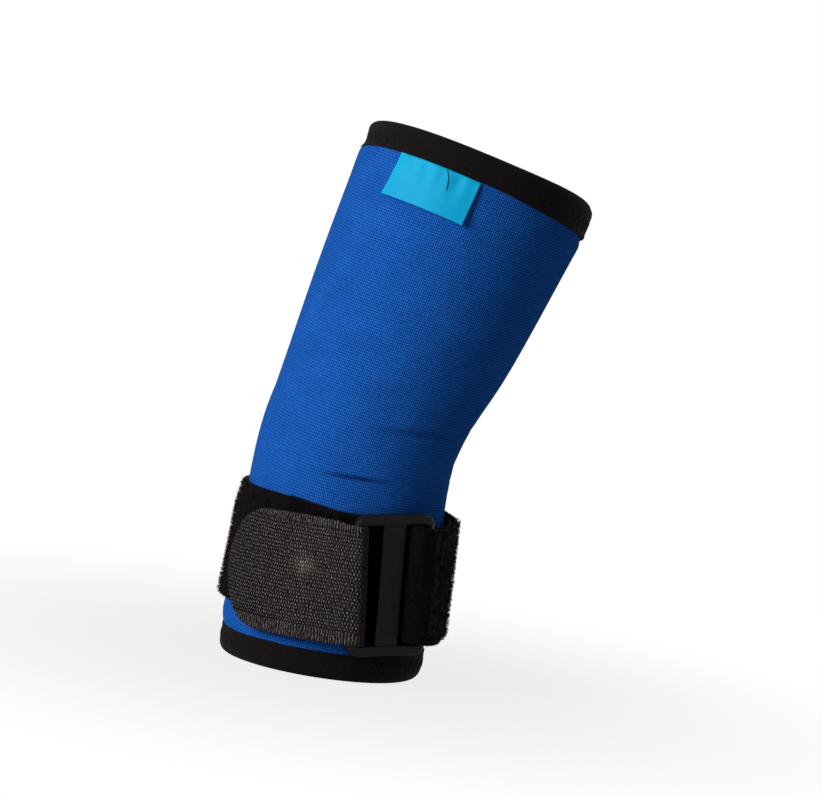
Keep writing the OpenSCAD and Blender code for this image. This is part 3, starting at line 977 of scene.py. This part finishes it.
# %% A loop of yarn
def loops(roots, out, along, height, reach, r, rings=3):
    """Bent hairs that rise from their roots and come down again, three-sided and tapered."""
    side = unit(np.cross(out, along))
    t = np.linspace(0, 1, rings)[None, :, None]
    path = roots[:, None] + along[:, None] * reach[:, None, None] * t
    path = path + out[:, None] * (height[:, None, None] * np.sin(np.pi * 0.85 * t))
    angle = 2 * math.pi * np.arange(3) / 3
    ring = np.cos(angle)[:, None, None] * out + np.sin(angle)[:, None, None] * side
    thin = r * (1 - 0.55 * t)
    points = path[:, :, None, :] + thin[..., None] * np.transpose(ring, (1, 0, 2))[:, None]
    sides = []
    for k in range(rings - 1):
        for j in range(3):
            ahead = (j + 1) % 3
            sides.append([3 * k + j, 3 * k + ahead, 3 * k + 3 + ahead, 3 * k + 3 + j])
    ends = [[2, 1, 0], [3 * rings - 3, 3 * rings - 2, 3 * rings - 1]]
    first = 3 * rings * np.arange(len(roots))[:, None, None]
    faces = []
    for group in (np.array(sides), np.array(ends)):
        faces += [tuple(f) for f in (group[None] + first).reshape(-1, group.shape[1]).tolist()]
    return points.reshape(-1, 3), faces, [[(0.0, 0.0)] * len(f) for f in faces]


one = np.ones(1)
one_loop = loops(np.zeros((1, 3)), np.eye(3)[2:], np.eye(3)[:1], one, one, 0.1)
print("a loop has", len(one_loop[1]), "faces")

# %% Pile over a face
yarn_r = 0.105
root_depth = 0.15


def pile(places, normals, count, seed, height=(1.0, 1.7)):
    """Loops scattered over a grid of places with outward normals."""
    dice = np.random.default_rng(seed)
    rows, columns = places.shape[:2]
    i = dice.random(count) * (rows - 1)
    j = dice.random(count) * (columns - 1)
    low_i, low_j = i.astype(int), j.astype(int)
    f, g = (i - low_i)[:, None], (j - low_j)[:, None]
    mixed = []
    for grid in (places, normals):
        near = grid[low_i, low_j] * (1 - f) + grid[low_i + 1, low_j] * f
        far = grid[low_i, low_j + 1] * (1 - f) + grid[low_i + 1, low_j + 1] * f
        mixed.append(near * (1 - g) + far * g)
    out = unit(mixed[1])
    spin = unit(dice.normal(size=(count, 3)))
    along = unit(np.cross(out, spin))
    rise = height[0] + (height[1] - height[0]) * dice.random(count) ** 2
    reach = 0.5 + 1.3 * dice.random(count)
    return loops(mixed[0] - root_depth * out, out, along, rise, reach, yarn_r)


print(f"yarn {2 * yarn_r:.2f} mm thick")

# %% [markdown]
# ## Strap
# The base tape is a rounded ribbon, a little lumpy, and the pile covers its outer face and spills
# over its edges. The last stretch, under the tab, is a piece of its own.

# %% Shape of the strap
pile_base = 0.5
strap_columns = 26
strap_outline = tape_outline(strap_columns)
# clock and width of the places where the strap stands off the sleeve
rear_flare = (-105, 42)
crook_flare = (78, 26)
crook_flare_out = 3.4


def lumps(at, count, size, seed):
    """A soft unevenness along and across a tape."""
    k = np.linspace(0, 1, count)[None, :]
    a = at[:, None]
    wave = np.sin(0.19 * a + 9 * k + seed) + np.sin(0.47 * a - 14 * k + 2 * seed)
    return size * (wave + 0.7 * np.sin(0.93 * a + 23 * k + seed))


def strap_flare(path, across):
    """The strap stands off at its lower edge and hugs the arm at its upper one, most at the sides."""
    clock = clock_of(path)
    curl = 1.1 * across + 1.4 * smooth((across - 0.6) / 0.4)
    rear = near_clock(clock, *rear_flare)[:, None] * curl[None, :]
    crook = crook_flare_out * near_clock(clock, *crook_flare)[:, None] * (0.55 - 0.45 * across[None, :])
    return (crook - rear) * faces_out(path)[:, None]


print(f"the strap stands off by up to {strap_flare(strap_path, strap_outline[1]).max():.1f} mm")


# %% Skin of the strap
def strap_places(path, at, mid, level, seed, leans, slant):
    """The tape's skin. Level lowers or lifts it along its length, so that two of them can meet, and
    slant is how far the top of its end reaches ahead."""
    half = np.full(len(path), strap_w / 2)
    across = strap_outline[1]
    sway = lumps(at, len(across), 0.12, seed) + level[:, None] + strap_flare(path, across)
    x, y, z = tape_points(path, mid, half, -strap_t / 2, pile_base, strap_outline, sway)
    if leans:
        x = x + lean(path, z)
    x = x + slant * smooth((at - at[-1] + 10) / 10)[:, None] * (z - mid[:, None]) / strap_w
    return np.stack([x, y, z], -1)


def edge_pile(face, out, loop_count, seed):
    """Loops on the tape's two edges, which stand out sideways."""
    edges = []
    for column, way in ((0, 1.0), (strap_columns - 1, -1.0)):
        rim = face[:, column : column + 1].repeat(2, 1)
        rim[:, 1] -= 1.6 * out
        rim_out = np.repeat(0.35 * out[:, None], 2, 1)
        rim_out[..., 2] = way
        edges.append(pile(rim, rim_out, loop_count // 9, seed + 7 + column, (0.7, 1.4)))
    return edges


# %% Build the strap
def strap_piece(name, path, at, mid, level, loop_count, seed, leans=False, slant=0, bare=0):
    """A tape with pile on its outer face, apart from its last bare rows."""
    places = strap_places(path, at, mid, level, seed, leans, slant)
    piled = len(path) - bare
    face = places[:piled, strap_columns + 3 : 2 * strap_columns + 3]
    out = np.hstack([path[:piled, 2:], np.zeros((piled, 1))])
    face_out = np.repeat(out[:, None], strap_columns, 1)
    face_out[..., 2] = np.linspace(1, -1, strap_columns) ** 9 * 0.9
    girth = np.linalg.norm(np.diff(places[0], axis=0, append=places[0, :1]), axis=1)
    tape = loft(places, False, at, np.append(0, np.cumsum(girth)))
    skins = [tape, pile(face, face_out, loop_count, seed)] + edge_pile(face, out, loop_count, seed)
    return piece(name, skins, loop_pile)


strap_turn = clock_of(strap_path)
strap_height = strap_mid(strap_turn) - 0.6 * near_clock(strap_turn, 32, 13) * faces_out(strap_path)
strap_end = -0.5 * smooth((strap_at - strap_at[-1] + 8) / 8)
strap = strap_piece(
    "forearm_strap", strap_path, strap_at, strap_height, strap_end, loop_count=17000, seed=3, leans=True
)
carry(strap, "forearm", "loop_pile", "strap")

# %% [markdown]
# ## Closing tab
# The strap's free end is a plain warp-knit tape, folded over the buckle's left-hand bar and laid back
# along the strap, with hooks under it. Its back is a coarse brownish black knit with pale specks,
# rubbed paler in one spot. Along its two long edges the rows stop, and the selvedge shows as fine
# upright lines. Its yarns could be modelled one by one, but they lie flat, so the knit is drawn in
# the material.

# %% Sizes of the tab
tab_w = 52.0
tab_drop = 1.0
tab_t = 1.8
hook_t = 1.2
hook_w = 47.0
tab_clock = 92.0
tip_len = 22.0
fold_looseness = 2.2
fold_r = bar_r + bar_gap + tab_t / 2
hook_r = lay_r + strap_t / 2 + seat + hook_t / 2
tab_r = hook_r + hook_t / 2 + glue + tab_t / 2
tab_leave = bar_clock + math.degrees(math.acos((tab_r - fold_r) / bar_reach))
tip_clock = math.degrees(tip_len / tab_r)
print(f"tab {tab_w:.0f} mm wide, laid {tab_r - sleeve_r:.1f} mm above the sleeve")


# %% Tab material
def tab_weave(name, hole, dark, light, rubbed, rubbed_spot, fold_end, column=1.08, row=1.5):
    """A warp-knit tape. Rubbed_spot is the place on it, in millimetres, that is worn paler. Up to
    fold_end along it the tape is painted dark as shade, where the fold turns from the light, and towards
    the tip its holes are widened as painted shade."""
    material, tree = new_material(name, 0.85, ior=1.53, Specular_IOR_Level=0.06, Sheen_Weight=0.02)
    uv = node(tree, "UVMap", uv_map="mm")
    side = node(tree, "SeparateXYZ", {"Vector": uv})
    from_middle = node(tree, "Math", {0: side.outputs["Y"]}, operation="ABSOLUTE")
    edge = {"Value": from_middle, "From Min": tab_w / 2 - 6, "From Max": tab_w / 2 - 4}
    selvedge = node(tree, "MapRange", edge)
    holes = knit_holes(tree, uv, column, (2 * row, 1, selvedge), crown=0.7, brim=-0.1, wander=1.6)
    specks = node(tree, "TexNoise", {"Vector": uv, "Scale": 0.9, "Detail": 3.0, "Roughness": 0.7})
    spread = node(tree, "MapRange", {"Value": specks, "From Min": 0.35, "From Max": 0.7})
    yarn = node(tree, "Mix", {0: spread, 6: linear(dark), 7: linear(light)}, data_type="RGBA")
    away = node(tree, "VectorMath", {0: uv, 1: (*rubbed_spot, 0)}, operation="DISTANCE")
    near_spot = {"Value": away, "From Min": 0.5, "From Max": 7.0, "To Min": 1.0, "To Max": 0.0}
    wear = node(tree, "MapRange", near_spot, interpolation_type="SMOOTHSTEP")
    patchy = node(tree, "Math", {0: wear, 1: spread}, operation="MULTIPLY")
    worn = node(tree, "Mix", {0: patchy, 6: yarn, 7: linear(rubbed)}, data_type="RGBA")
    along = side.outputs["X"]
    # Painted shade: up to fold_end the tape takes the hole colour, where the fold turns away from the light
    near_fold = {
        "Value": along, "From Min": fold_end, "From Max": fold_end + 2, "To Min": 0.85, "To Max": 0.0,
    }
    fold_shade = node(tree, "MapRange", near_fold, interpolation_type="SMOOTHSTEP")
    # Painted shade: towards the tip more of the tape takes the hole colour
    near_tip = {"Value": along, "From Min": 35, "From Max": 85, "To Max": 0.45}
    tip_shade = node(tree, "MapRange", near_tip)
    holes_and_tip_shade = node(tree, "Math", {0: holes, 1: tip_shade}, operation="ADD", use_clamp=True)
    rubbed_flat = {0: patchy, 1: -0.3, 2: holes_and_tip_shade}
    flattened = node(tree, "Math", rubbed_flat, operation="MULTIPLY_ADD", use_clamp=True)
    holes_and_shade = node(tree, "Math", {0: flattened, 1: fold_shade}, operation="MAXIMUM")
    tone = node(tree, "Mix", {0: holes_and_shade, 6: worn, 7: linear(hole)}, data_type="RGBA")
    return dress(material, tone, holes, 0.8, 0.4, sunk=True)


tab_tape = tab_weave(
    "nylon_warp_knit_brown_black",
    hole="#020101",
    dark="#2A2224",
    light="#C4B6B8",
    rubbed="#C8C0A8",
    rubbed_spot=(33.5, 4.2),
    fold_end=9.0,
)
print("tab:", tab_tape.name)


# %% Build the tab
def tip_half(clock, half):
    """Half the width of the tab, which is rounded off towards its tip."""
    past = np.clip((clock - tab_clock + tip_clock) / tip_clock, 0, 1)
    return half * np.sqrt(1 - (0.985 * past) ** 2)


def mirrored(places):
    """Paths are laid on the right, and the tab is on the left."""
    return places * np.array([-1, 1, 1])


tab_path, tab_at = even(np.concatenate([
    arc(right_plan, fold_r, bar_clock + 180, tab_leave + 360),
    arc((0, 0), tab_r, tab_leave, tab_clock),
]), 0.8)
tab_turn = clock_of(tab_path)
# The tab is as narrow as the slot on the bar, then widens
neck = 1 - smooth((tab_at - 14) / 8)
# Its upper corner is cut back towards the tip
cut_back = 0.45 * smooth((tab_turn - 48) / 22)
tab_half = tip_half(tab_turn, tab_w / 2 - 0.7 * neck - cut_back)
tab_mid = buckle_middle[2] - tab_drop - 0.2 * neck - cut_back
tab_lines = tape_outline(40)
sway = 0.12 * np.sin(0.21 * tab_at[:, None] + 0.1 * np.arange(len(tab_lines[0]))[None, :])
x, y, z = tape_points(tab_path, tab_mid, tab_half, -tab_t / 2, tab_t / 2, tab_lines, sway)
# The fold is tight on the bar at the top and looser at the foot
below_top = (left_bar[2] + strap_w / 2 - z) / strap_w
loose = fold_looseness * (1 - smooth((tab_at - 8) / 10))[:, None] * below_top
points, faces, _ = loft(mirrored(np.stack([x - lean(tab_path, z) - loose, y, z], -1)))
point_uv = np.stack([np.broadcast_to(tab_at[:, None], z.shape), z - buckle_middle[2]], -1).reshape(-1, 2)
tab_skin = (points, faces, [point_uv[list(f)].tolist() for f in faces])
carry(piece("closing_tab_tape", [tab_skin], tab_tape), "tab", "tab_tape", "closing_tab")

# %% [markdown]
# ## Buckle
# The buckle is a three-bar slide, moulded in one piece from black nylon: round side bars, flat end
# bars and a recessed centre bar with fine grip ribs along it. It could be cut from blocks, but
# moulded corners flow, so one outline is carried round the frame's loop and changes from the round
# bar to the flat one on the way. The centre bar is a ribbed strip let into the end bars.

# %% Buckle material
# A soft sheen from the mould's fine grain, uneven where handling has scuffed it
moulded, tree = new_material("moulded_nylon_black", 0.45, ior=1.53, Specular_IOR_Level=0.1)
place = node(tree, "TexCoord").outputs["Object"]
grain = node(tree, "TexNoise", {"Vector": place, "Scale": 900.0, "Detail": 3.0, "Roughness": 0.6})
scuffs = node(tree, "TexNoise", {"Vector": place, "Scale": 120.0, "Detail": 4.0, "Roughness": 0.7})
scuffed = {"Value": scuffs, "From Min": 0.3, "From Max": 0.7, "To Min": 0.36, "To Max": 0.52}
gloss = node(tree, "MapRange", scuffed)
feed(tree.nodes["Principled BSDF"].inputs["Roughness"], gloss)
two_tone(moulded, "#0B090B", "#191618", scuffs, grain, 0.2, 0.1)
print("buckle:", moulded.name)

# %% Shape of the buckle's frame
slot_len = strap_w + slot_play
end_bar_h = 4.3
frame_half_t = 2.45
frame_half_z = slot_len / 2 + end_bar_h / 2
corner_r = 3.6


def frame_loop(step=0.7):
    """The middle line of the frame: x and z, the outward direction, and how flat the bar is there."""
    corner_at = np.array([bar_spread - corner_r, frame_half_z - corner_r])
    sides = []
    for turn, way in enumerate(((1, 1), (-1, 1), (-1, -1), (1, -1))):
        angle = np.radians(np.linspace(90 * turn, 90 * turn + 90, 11))
        out = np.stack([np.cos(angle), np.sin(angle)], 1)
        sides.append(np.hstack([corner_at * way + corner_r * out, out]))
    loop, _ = even(np.concatenate(sides + [sides[0][:1]]), step)
    flat = smooth((np.abs(loop[:-1, 3]) - 0.25) / 0.6)
    return loop[:-1], flat


def rounded(angle, power):
    """A point on an outline between a circle, power 2, and a softened rectangle, higher powers."""
    c, s = np.cos(angle), np.sin(angle)
    return np.sign(c) * np.abs(c) ** (2 / power), np.sign(s) * np.abs(s) ** (2 / power)


def on_buckle(x, y, z):
    """From the buckle's own frame to the part's: rolled about -Y, then moved to its middle."""
    c, s = math.cos(buckle_roll), math.sin(buckle_roll)
    return np.stack([x * c - z * s, y, x * s + z * c], -1) + buckle_middle


def frame_skin(sides=28):
    """The side bars and the end bars, as one closed ring."""
    loop, flat = frame_loop()
    angle = 2 * math.pi * np.arange(sides) / sides
    across, deep = rounded(angle[None, :], 2 + 5 * flat[:, None])
    across = across * (bar_r + (end_bar_h / 2 - bar_r) * flat[:, None])
    deep = deep * (bar_r + (frame_half_t - bar_r) * flat[:, None])
    x = loop[:, 0:1] + loop[:, 2:3] * across
    z = loop[:, 1:2] + loop[:, 3:4] * across
    return loft(on_buckle(x, deep, z), True)


print(f"buckle {2 * (bar_spread + bar_r):.1f} by {2 * frame_half_z + end_bar_h:.1f} mm")

# %% Build the buckle
centre_t = 3.0
recess = 1.0
rib_count = 9
rib_h = 0.13
rib_end = 0.44 * slot_len


def centre_skin():
    """The centre bar: grip ribs along its face, fading out before its ends."""
    z = np.concatenate([
        np.linspace(-slot_len / 2 - 1, -rib_end, 6),
        np.linspace(-0.43 * slot_len, 0.43 * slot_len, 24),
        np.linspace(rib_end, slot_len / 2 + 1, 6),
    ])
    across = np.linspace(-1, 1, 57)
    ribs = rib_h * (np.cos(math.pi * rib_count * (across + 1)) - 1) * (np.abs(across) < 0.97)
    fade = smooth((rib_end - np.abs(z)) / 1.2)
    waist = 1 - 0.04 * smooth((0.4 * slot_len - np.abs(z)) / 6)
    edge = 0.35 * np.abs(across) ** 14
    face_y = recess - frame_half_t
    top = face_y - ribs[None, :] * fade[:, None] + edge[None, :]
    foot = np.full((len(z), 2), face_y + centre_t)
    x = np.concatenate([across, [0.96, -0.96]])[None, :] * centre_w / 2 * waist[:, None]
    return loft(on_buckle(x, np.hstack([top, foot]), z[:, None] + 0 * x), False)


buckle = piece("slide_buckle", [frame_skin(), centre_skin()], moulded)
carry(buckle, "buckle_frame", "buckle_plastic", "buckle")

# %% [markdown]
# ## Under the tab
# A patch of hook tape is sewn under the tab. Its hooks are stiff nylon bristles with bent ends, set
# in rows, and they show when the tab is peeled back, so they are bent tubes like the pile's loops.
# The strap's last stretch runs from the arm nearly to the fold round the left-hand bar, where the
# top of its end reaches under the frame.

# %% Build the hook patch
hooks_across = 28
hook_h = 0.62
hook_reach = 0.55
hook_inset = 4
hook_wire_r = 0.13
hook_tape = black_knit("nylon_hook_tape_black", "#121113", "#2B292C", rib=1.5)
hook_path, hook_at = even(arc((0, 0), hook_r, tab_leave + 3, tab_clock - hook_inset), 1.0)
hook_half = tip_half(clock_of(hook_path) + hook_inset, hook_w / 2)
hook_mid = np.full(len(hook_path), buckle_middle[2] - tab_drop)
base = tape_points(hook_path, hook_mid, hook_half, -0.1, hook_t / 2, tape_outline(20))
rows = np.arange(2, len(hook_path) - 1, 2)
spots = np.linspace(-0.94, 0.94, hooks_across)
root_z = hook_mid[rows, None] + spots[None, :] * hook_half[rows, None]
root_plan = hook_path[rows, :2] - 0.05 * hook_path[rows, 2:]
roots = np.dstack([np.repeat(root_plan[:, None], hooks_across, 1), root_z]).reshape(-1, 3)
inwards = np.repeat(np.hstack([-hook_path[rows, 2:], np.zeros((len(rows), 1))]), hooks_across, 0)
upwards = np.tile([0.0, 0.0, 1.0], (len(roots), 1))
each = np.ones(len(roots))
points, faces, uvs = loops(roots, inwards, upwards, hook_h * each, hook_reach * each, hook_wire_r, 5)
hook_skins = [loft(mirrored(np.stack(base, -1)), False, hook_at), (mirrored(points), faces, uvs)]
carry(piece("hook_patch_tape", hook_skins, hook_tape), "tab", "hook_tape", "hook_patch")

# %% Build the strap's lead to the bar
lead_stop = 360 - bar_clock - 4.6
lead_path, lead_at = even(arc((0, 0), lay_r, lead_clock - 10, lead_stop), 1.0)
lead_mid = strap_mid(clock_of(lead_path))
lead_level = -0.5 * (1 - smooth(lead_at / 8)) - 0.7 * smooth((lead_at - lead_at[-1] + 6) / 6)
lead = strap_piece(
    "strap_lead", lead_path, lead_at, lead_mid, lead_level, loop_count=2000, seed=5, slant=4.4, bare=5
)
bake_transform(lead)


# %% Sew the strap and the tab
def upright_stitch(r, clock, half_h):
    """A zigzag up the strap's face."""
    from_z, to_z = strap_z - half_h, strap_z + half_h
    z = np.linspace(from_z, to_z, round((to_z - from_z) * seam_steps))
    turn = clock + np.degrees(zigzag((z - from_z) / stitch_pitch) * seam_stitch_w / 2 / r)
    path = np.column_stack([r * plan(turn), z])
    return tube(path, path * np.array([1, 1, 0]))


def overcast(way, pitch=2.6, height=4.0, inset=2.4, start=20):
    """A row of close upright stitches along the tab's upper edge, way 1, or its lower edge, way -1."""
    along = np.arange(start, tab_at[-1] - tip_len + 4, pitch / 10)
    x, y, out_x, out_y = (np.interp(along, tab_at, column) for column in tab_path.T)
    mid, half = np.interp(along, tab_at, tab_mid), np.interp(along, tab_at, tab_half)
    z = mid + way * (half - inset) + zigzag(along / pitch) * height / 2
    lift = tab_t / 2 + 0.1
    path = mirrored(np.stack([x + lift * out_x, y + lift * out_y, z], -1))
    return tube(path, mirrored(np.stack([out_x, out_y, 0 * z], -1)), fine_thread_r)


stitch_lift = 1.5
tab_thread = twisted_thread("polyester_thread_brown_black", "#3A3032", "#6E6062")
keeper_seam = upright_stitch(over_r + stitch_lift, keeper_clock - 4, 21)
anchor_seam = upright_stitch(lay_r + stitch_lift, seam_clock, 22)
for name, skins, yarn, body, solid in (
    ("keeper_stitch", [keeper_seam], thread, "forearm", "keeper_thread"),
    ("strap_anchor_stitch", [anchor_seam], thread, "forearm", "strap_anchor_thread"),
    ("tab_edge_stitch", [overcast(-1), overcast(1)], tab_thread, "tab", "hook_patch_thread"),
):
    carry(piece(name, skins, yarn), body, "thread", solid)

# %% [markdown]
# ## Floor, light and camera
# The floor and the background are plain and pale. The background is white to the camera by its own
# colour, while the light on the object stays at a plain level: a large soft lamp from the front
# left, a weak fill from the right, and an even grey world.


# %% World
def seen_directly(tree):
    """1 for rays from the camera, and for those that a glossy or a clear surface sends on."""
    kind = node(tree, "LightPath")
    total = kind.outputs["Is Camera Ray"]
    for name in ("Is Glossy Ray", "Is Transmission Ray"):
        total = node(tree, "Math", {0: total, 1: kind.outputs[name]}, operation="MAXIMUM")
    return total


world_light = 0.04
scene = bpy.context.scene
scene.world = bpy.data.worlds.new("studio")
scene.world.use_nodes = True
tree = scene.world.node_tree
background = tree.nodes["Background"]
background.inputs["Color"].default_value = (1, 1, 1, 1)
strengths = {"Value": seen_directly(tree), "To Min": world_light, "To Max": 1.0}
feed(background.inputs["Strength"], node(tree, "MapRange", strengths))
print("world:", scene.world.name)

# %% Floor
floor_reach = 6.0
floor_drop = 0.0005
floor_corners = [(x * floor_reach, y * floor_reach, 0) for x, y in ((-1, -1), (1, -1), (1, 1), (-1, 1))]
floor_mesh = bpy.data.meshes.new("floor")
floor_mesh.from_pydata(floor_corners, [], [(0, 1, 2, 3)])
floor = bpy.data.objects.new("floor", floor_mesh)
floor.location.z = -floor_drop
scene.collection.objects.link(floor)
paper, tree = new_material("matt_white_paper", 0.95)
shader = tree.nodes["Principled BSDF"]
shader.inputs["Base Color"].default_value = linear("#BDBDBB")
glow = node(tree, "Emission", {"Color": (1, 1, 1, 1), "Strength": 1.0})
place = node(tree, "TexCoord").outputs["Object"]
away = node(tree, "VectorMath", {0: place}, operation="LENGTH")
# Near the object a share of the lit paper shows through the white, and with it the object's shadow
fade = {"Value": away, "From Min": 0.05, "From Max": 0.3, "To Min": 0.82, "To Max": 1.0}
whiteness = node(tree, "MapRange", fade, interpolation_type="SMOOTHSTEP")
share = node(tree, "Math", {0: seen_directly(tree), 1: whiteness}, operation="MULTIPLY")
blend = node(tree, "MixShader", {0: share, 1: shader, 2: glow})
feed(tree.nodes["Material Output"].inputs["Surface"], blend)
floor_mesh.materials.append(paper)
print("floor:", paper.name)


# %% Place a lamp or a camera
def direction(azimuth, elevation):
    """From the object towards a viewer: azimuth 0 is in front, at -Y."""
    a, e = math.radians(azimuth), math.radians(elevation)
    return np.array([math.sin(a) * math.cos(e), -math.cos(a) * math.cos(e), math.sin(e)])


def place_facing(made, target, distance, azimuth, elevation, roll=0.0):
    """Put a lamp or a camera so far from a target, looking at it, and roll it."""
    back = direction(azimuth, elevation)
    right = unit(np.cross([0, 0, 1], back))
    up = np.cross(back, right)
    c, s = math.cos(math.radians(roll)), math.sin(math.radians(roll))
    matrix = np.eye(4)
    matrix[:3, :3] = np.stack([c * right + s * up, c * up - s * right, back], 1)
    matrix[:3, 3] = target + distance * back
    made.matrix_world = Matrix(matrix.tolist())
    scene.collection.objects.link(made)


print("the front is at", np.round(direction(0, 0), 3))

# %% Lamps
view_target = np.array([24.86, 0, 118.3]) / 1000
lamp_distance = 1.4
for name, azimuth, elevation, power, size in (
    ("key", -82, 20, 13.4, 0.6),
    ("fill", 35, 15, 1.0, 1.2),
):
    lamp = bpy.data.lights.new(name, "AREA")
    lamp.energy = power
    lamp.size = size
    place_facing(bpy.data.objects.new(name, lamp), view_target, lamp_distance, azimuth, elevation)
    print(f"{name} lamp: {power} W")

# %% Camera
view_width = 0.3559
view_distance = 1.5
view_azimuth = -31.5
view_elevation = 4.86
view_roll = 9.04
camera_data = bpy.data.cameras.new("camera")
camera_data.sensor_fit = "HORIZONTAL"
camera_data.angle = 2 * math.atan(view_width / 2 / view_distance)
camera = bpy.data.objects.new("camera", camera_data)
place_facing(camera, view_target, view_distance, view_azimuth, view_elevation, view_roll)
scene.camera = camera
scene.view_settings.view_transform = "Standard"
print(f"camera {math.degrees(camera_data.angle):.2f} degrees wide")
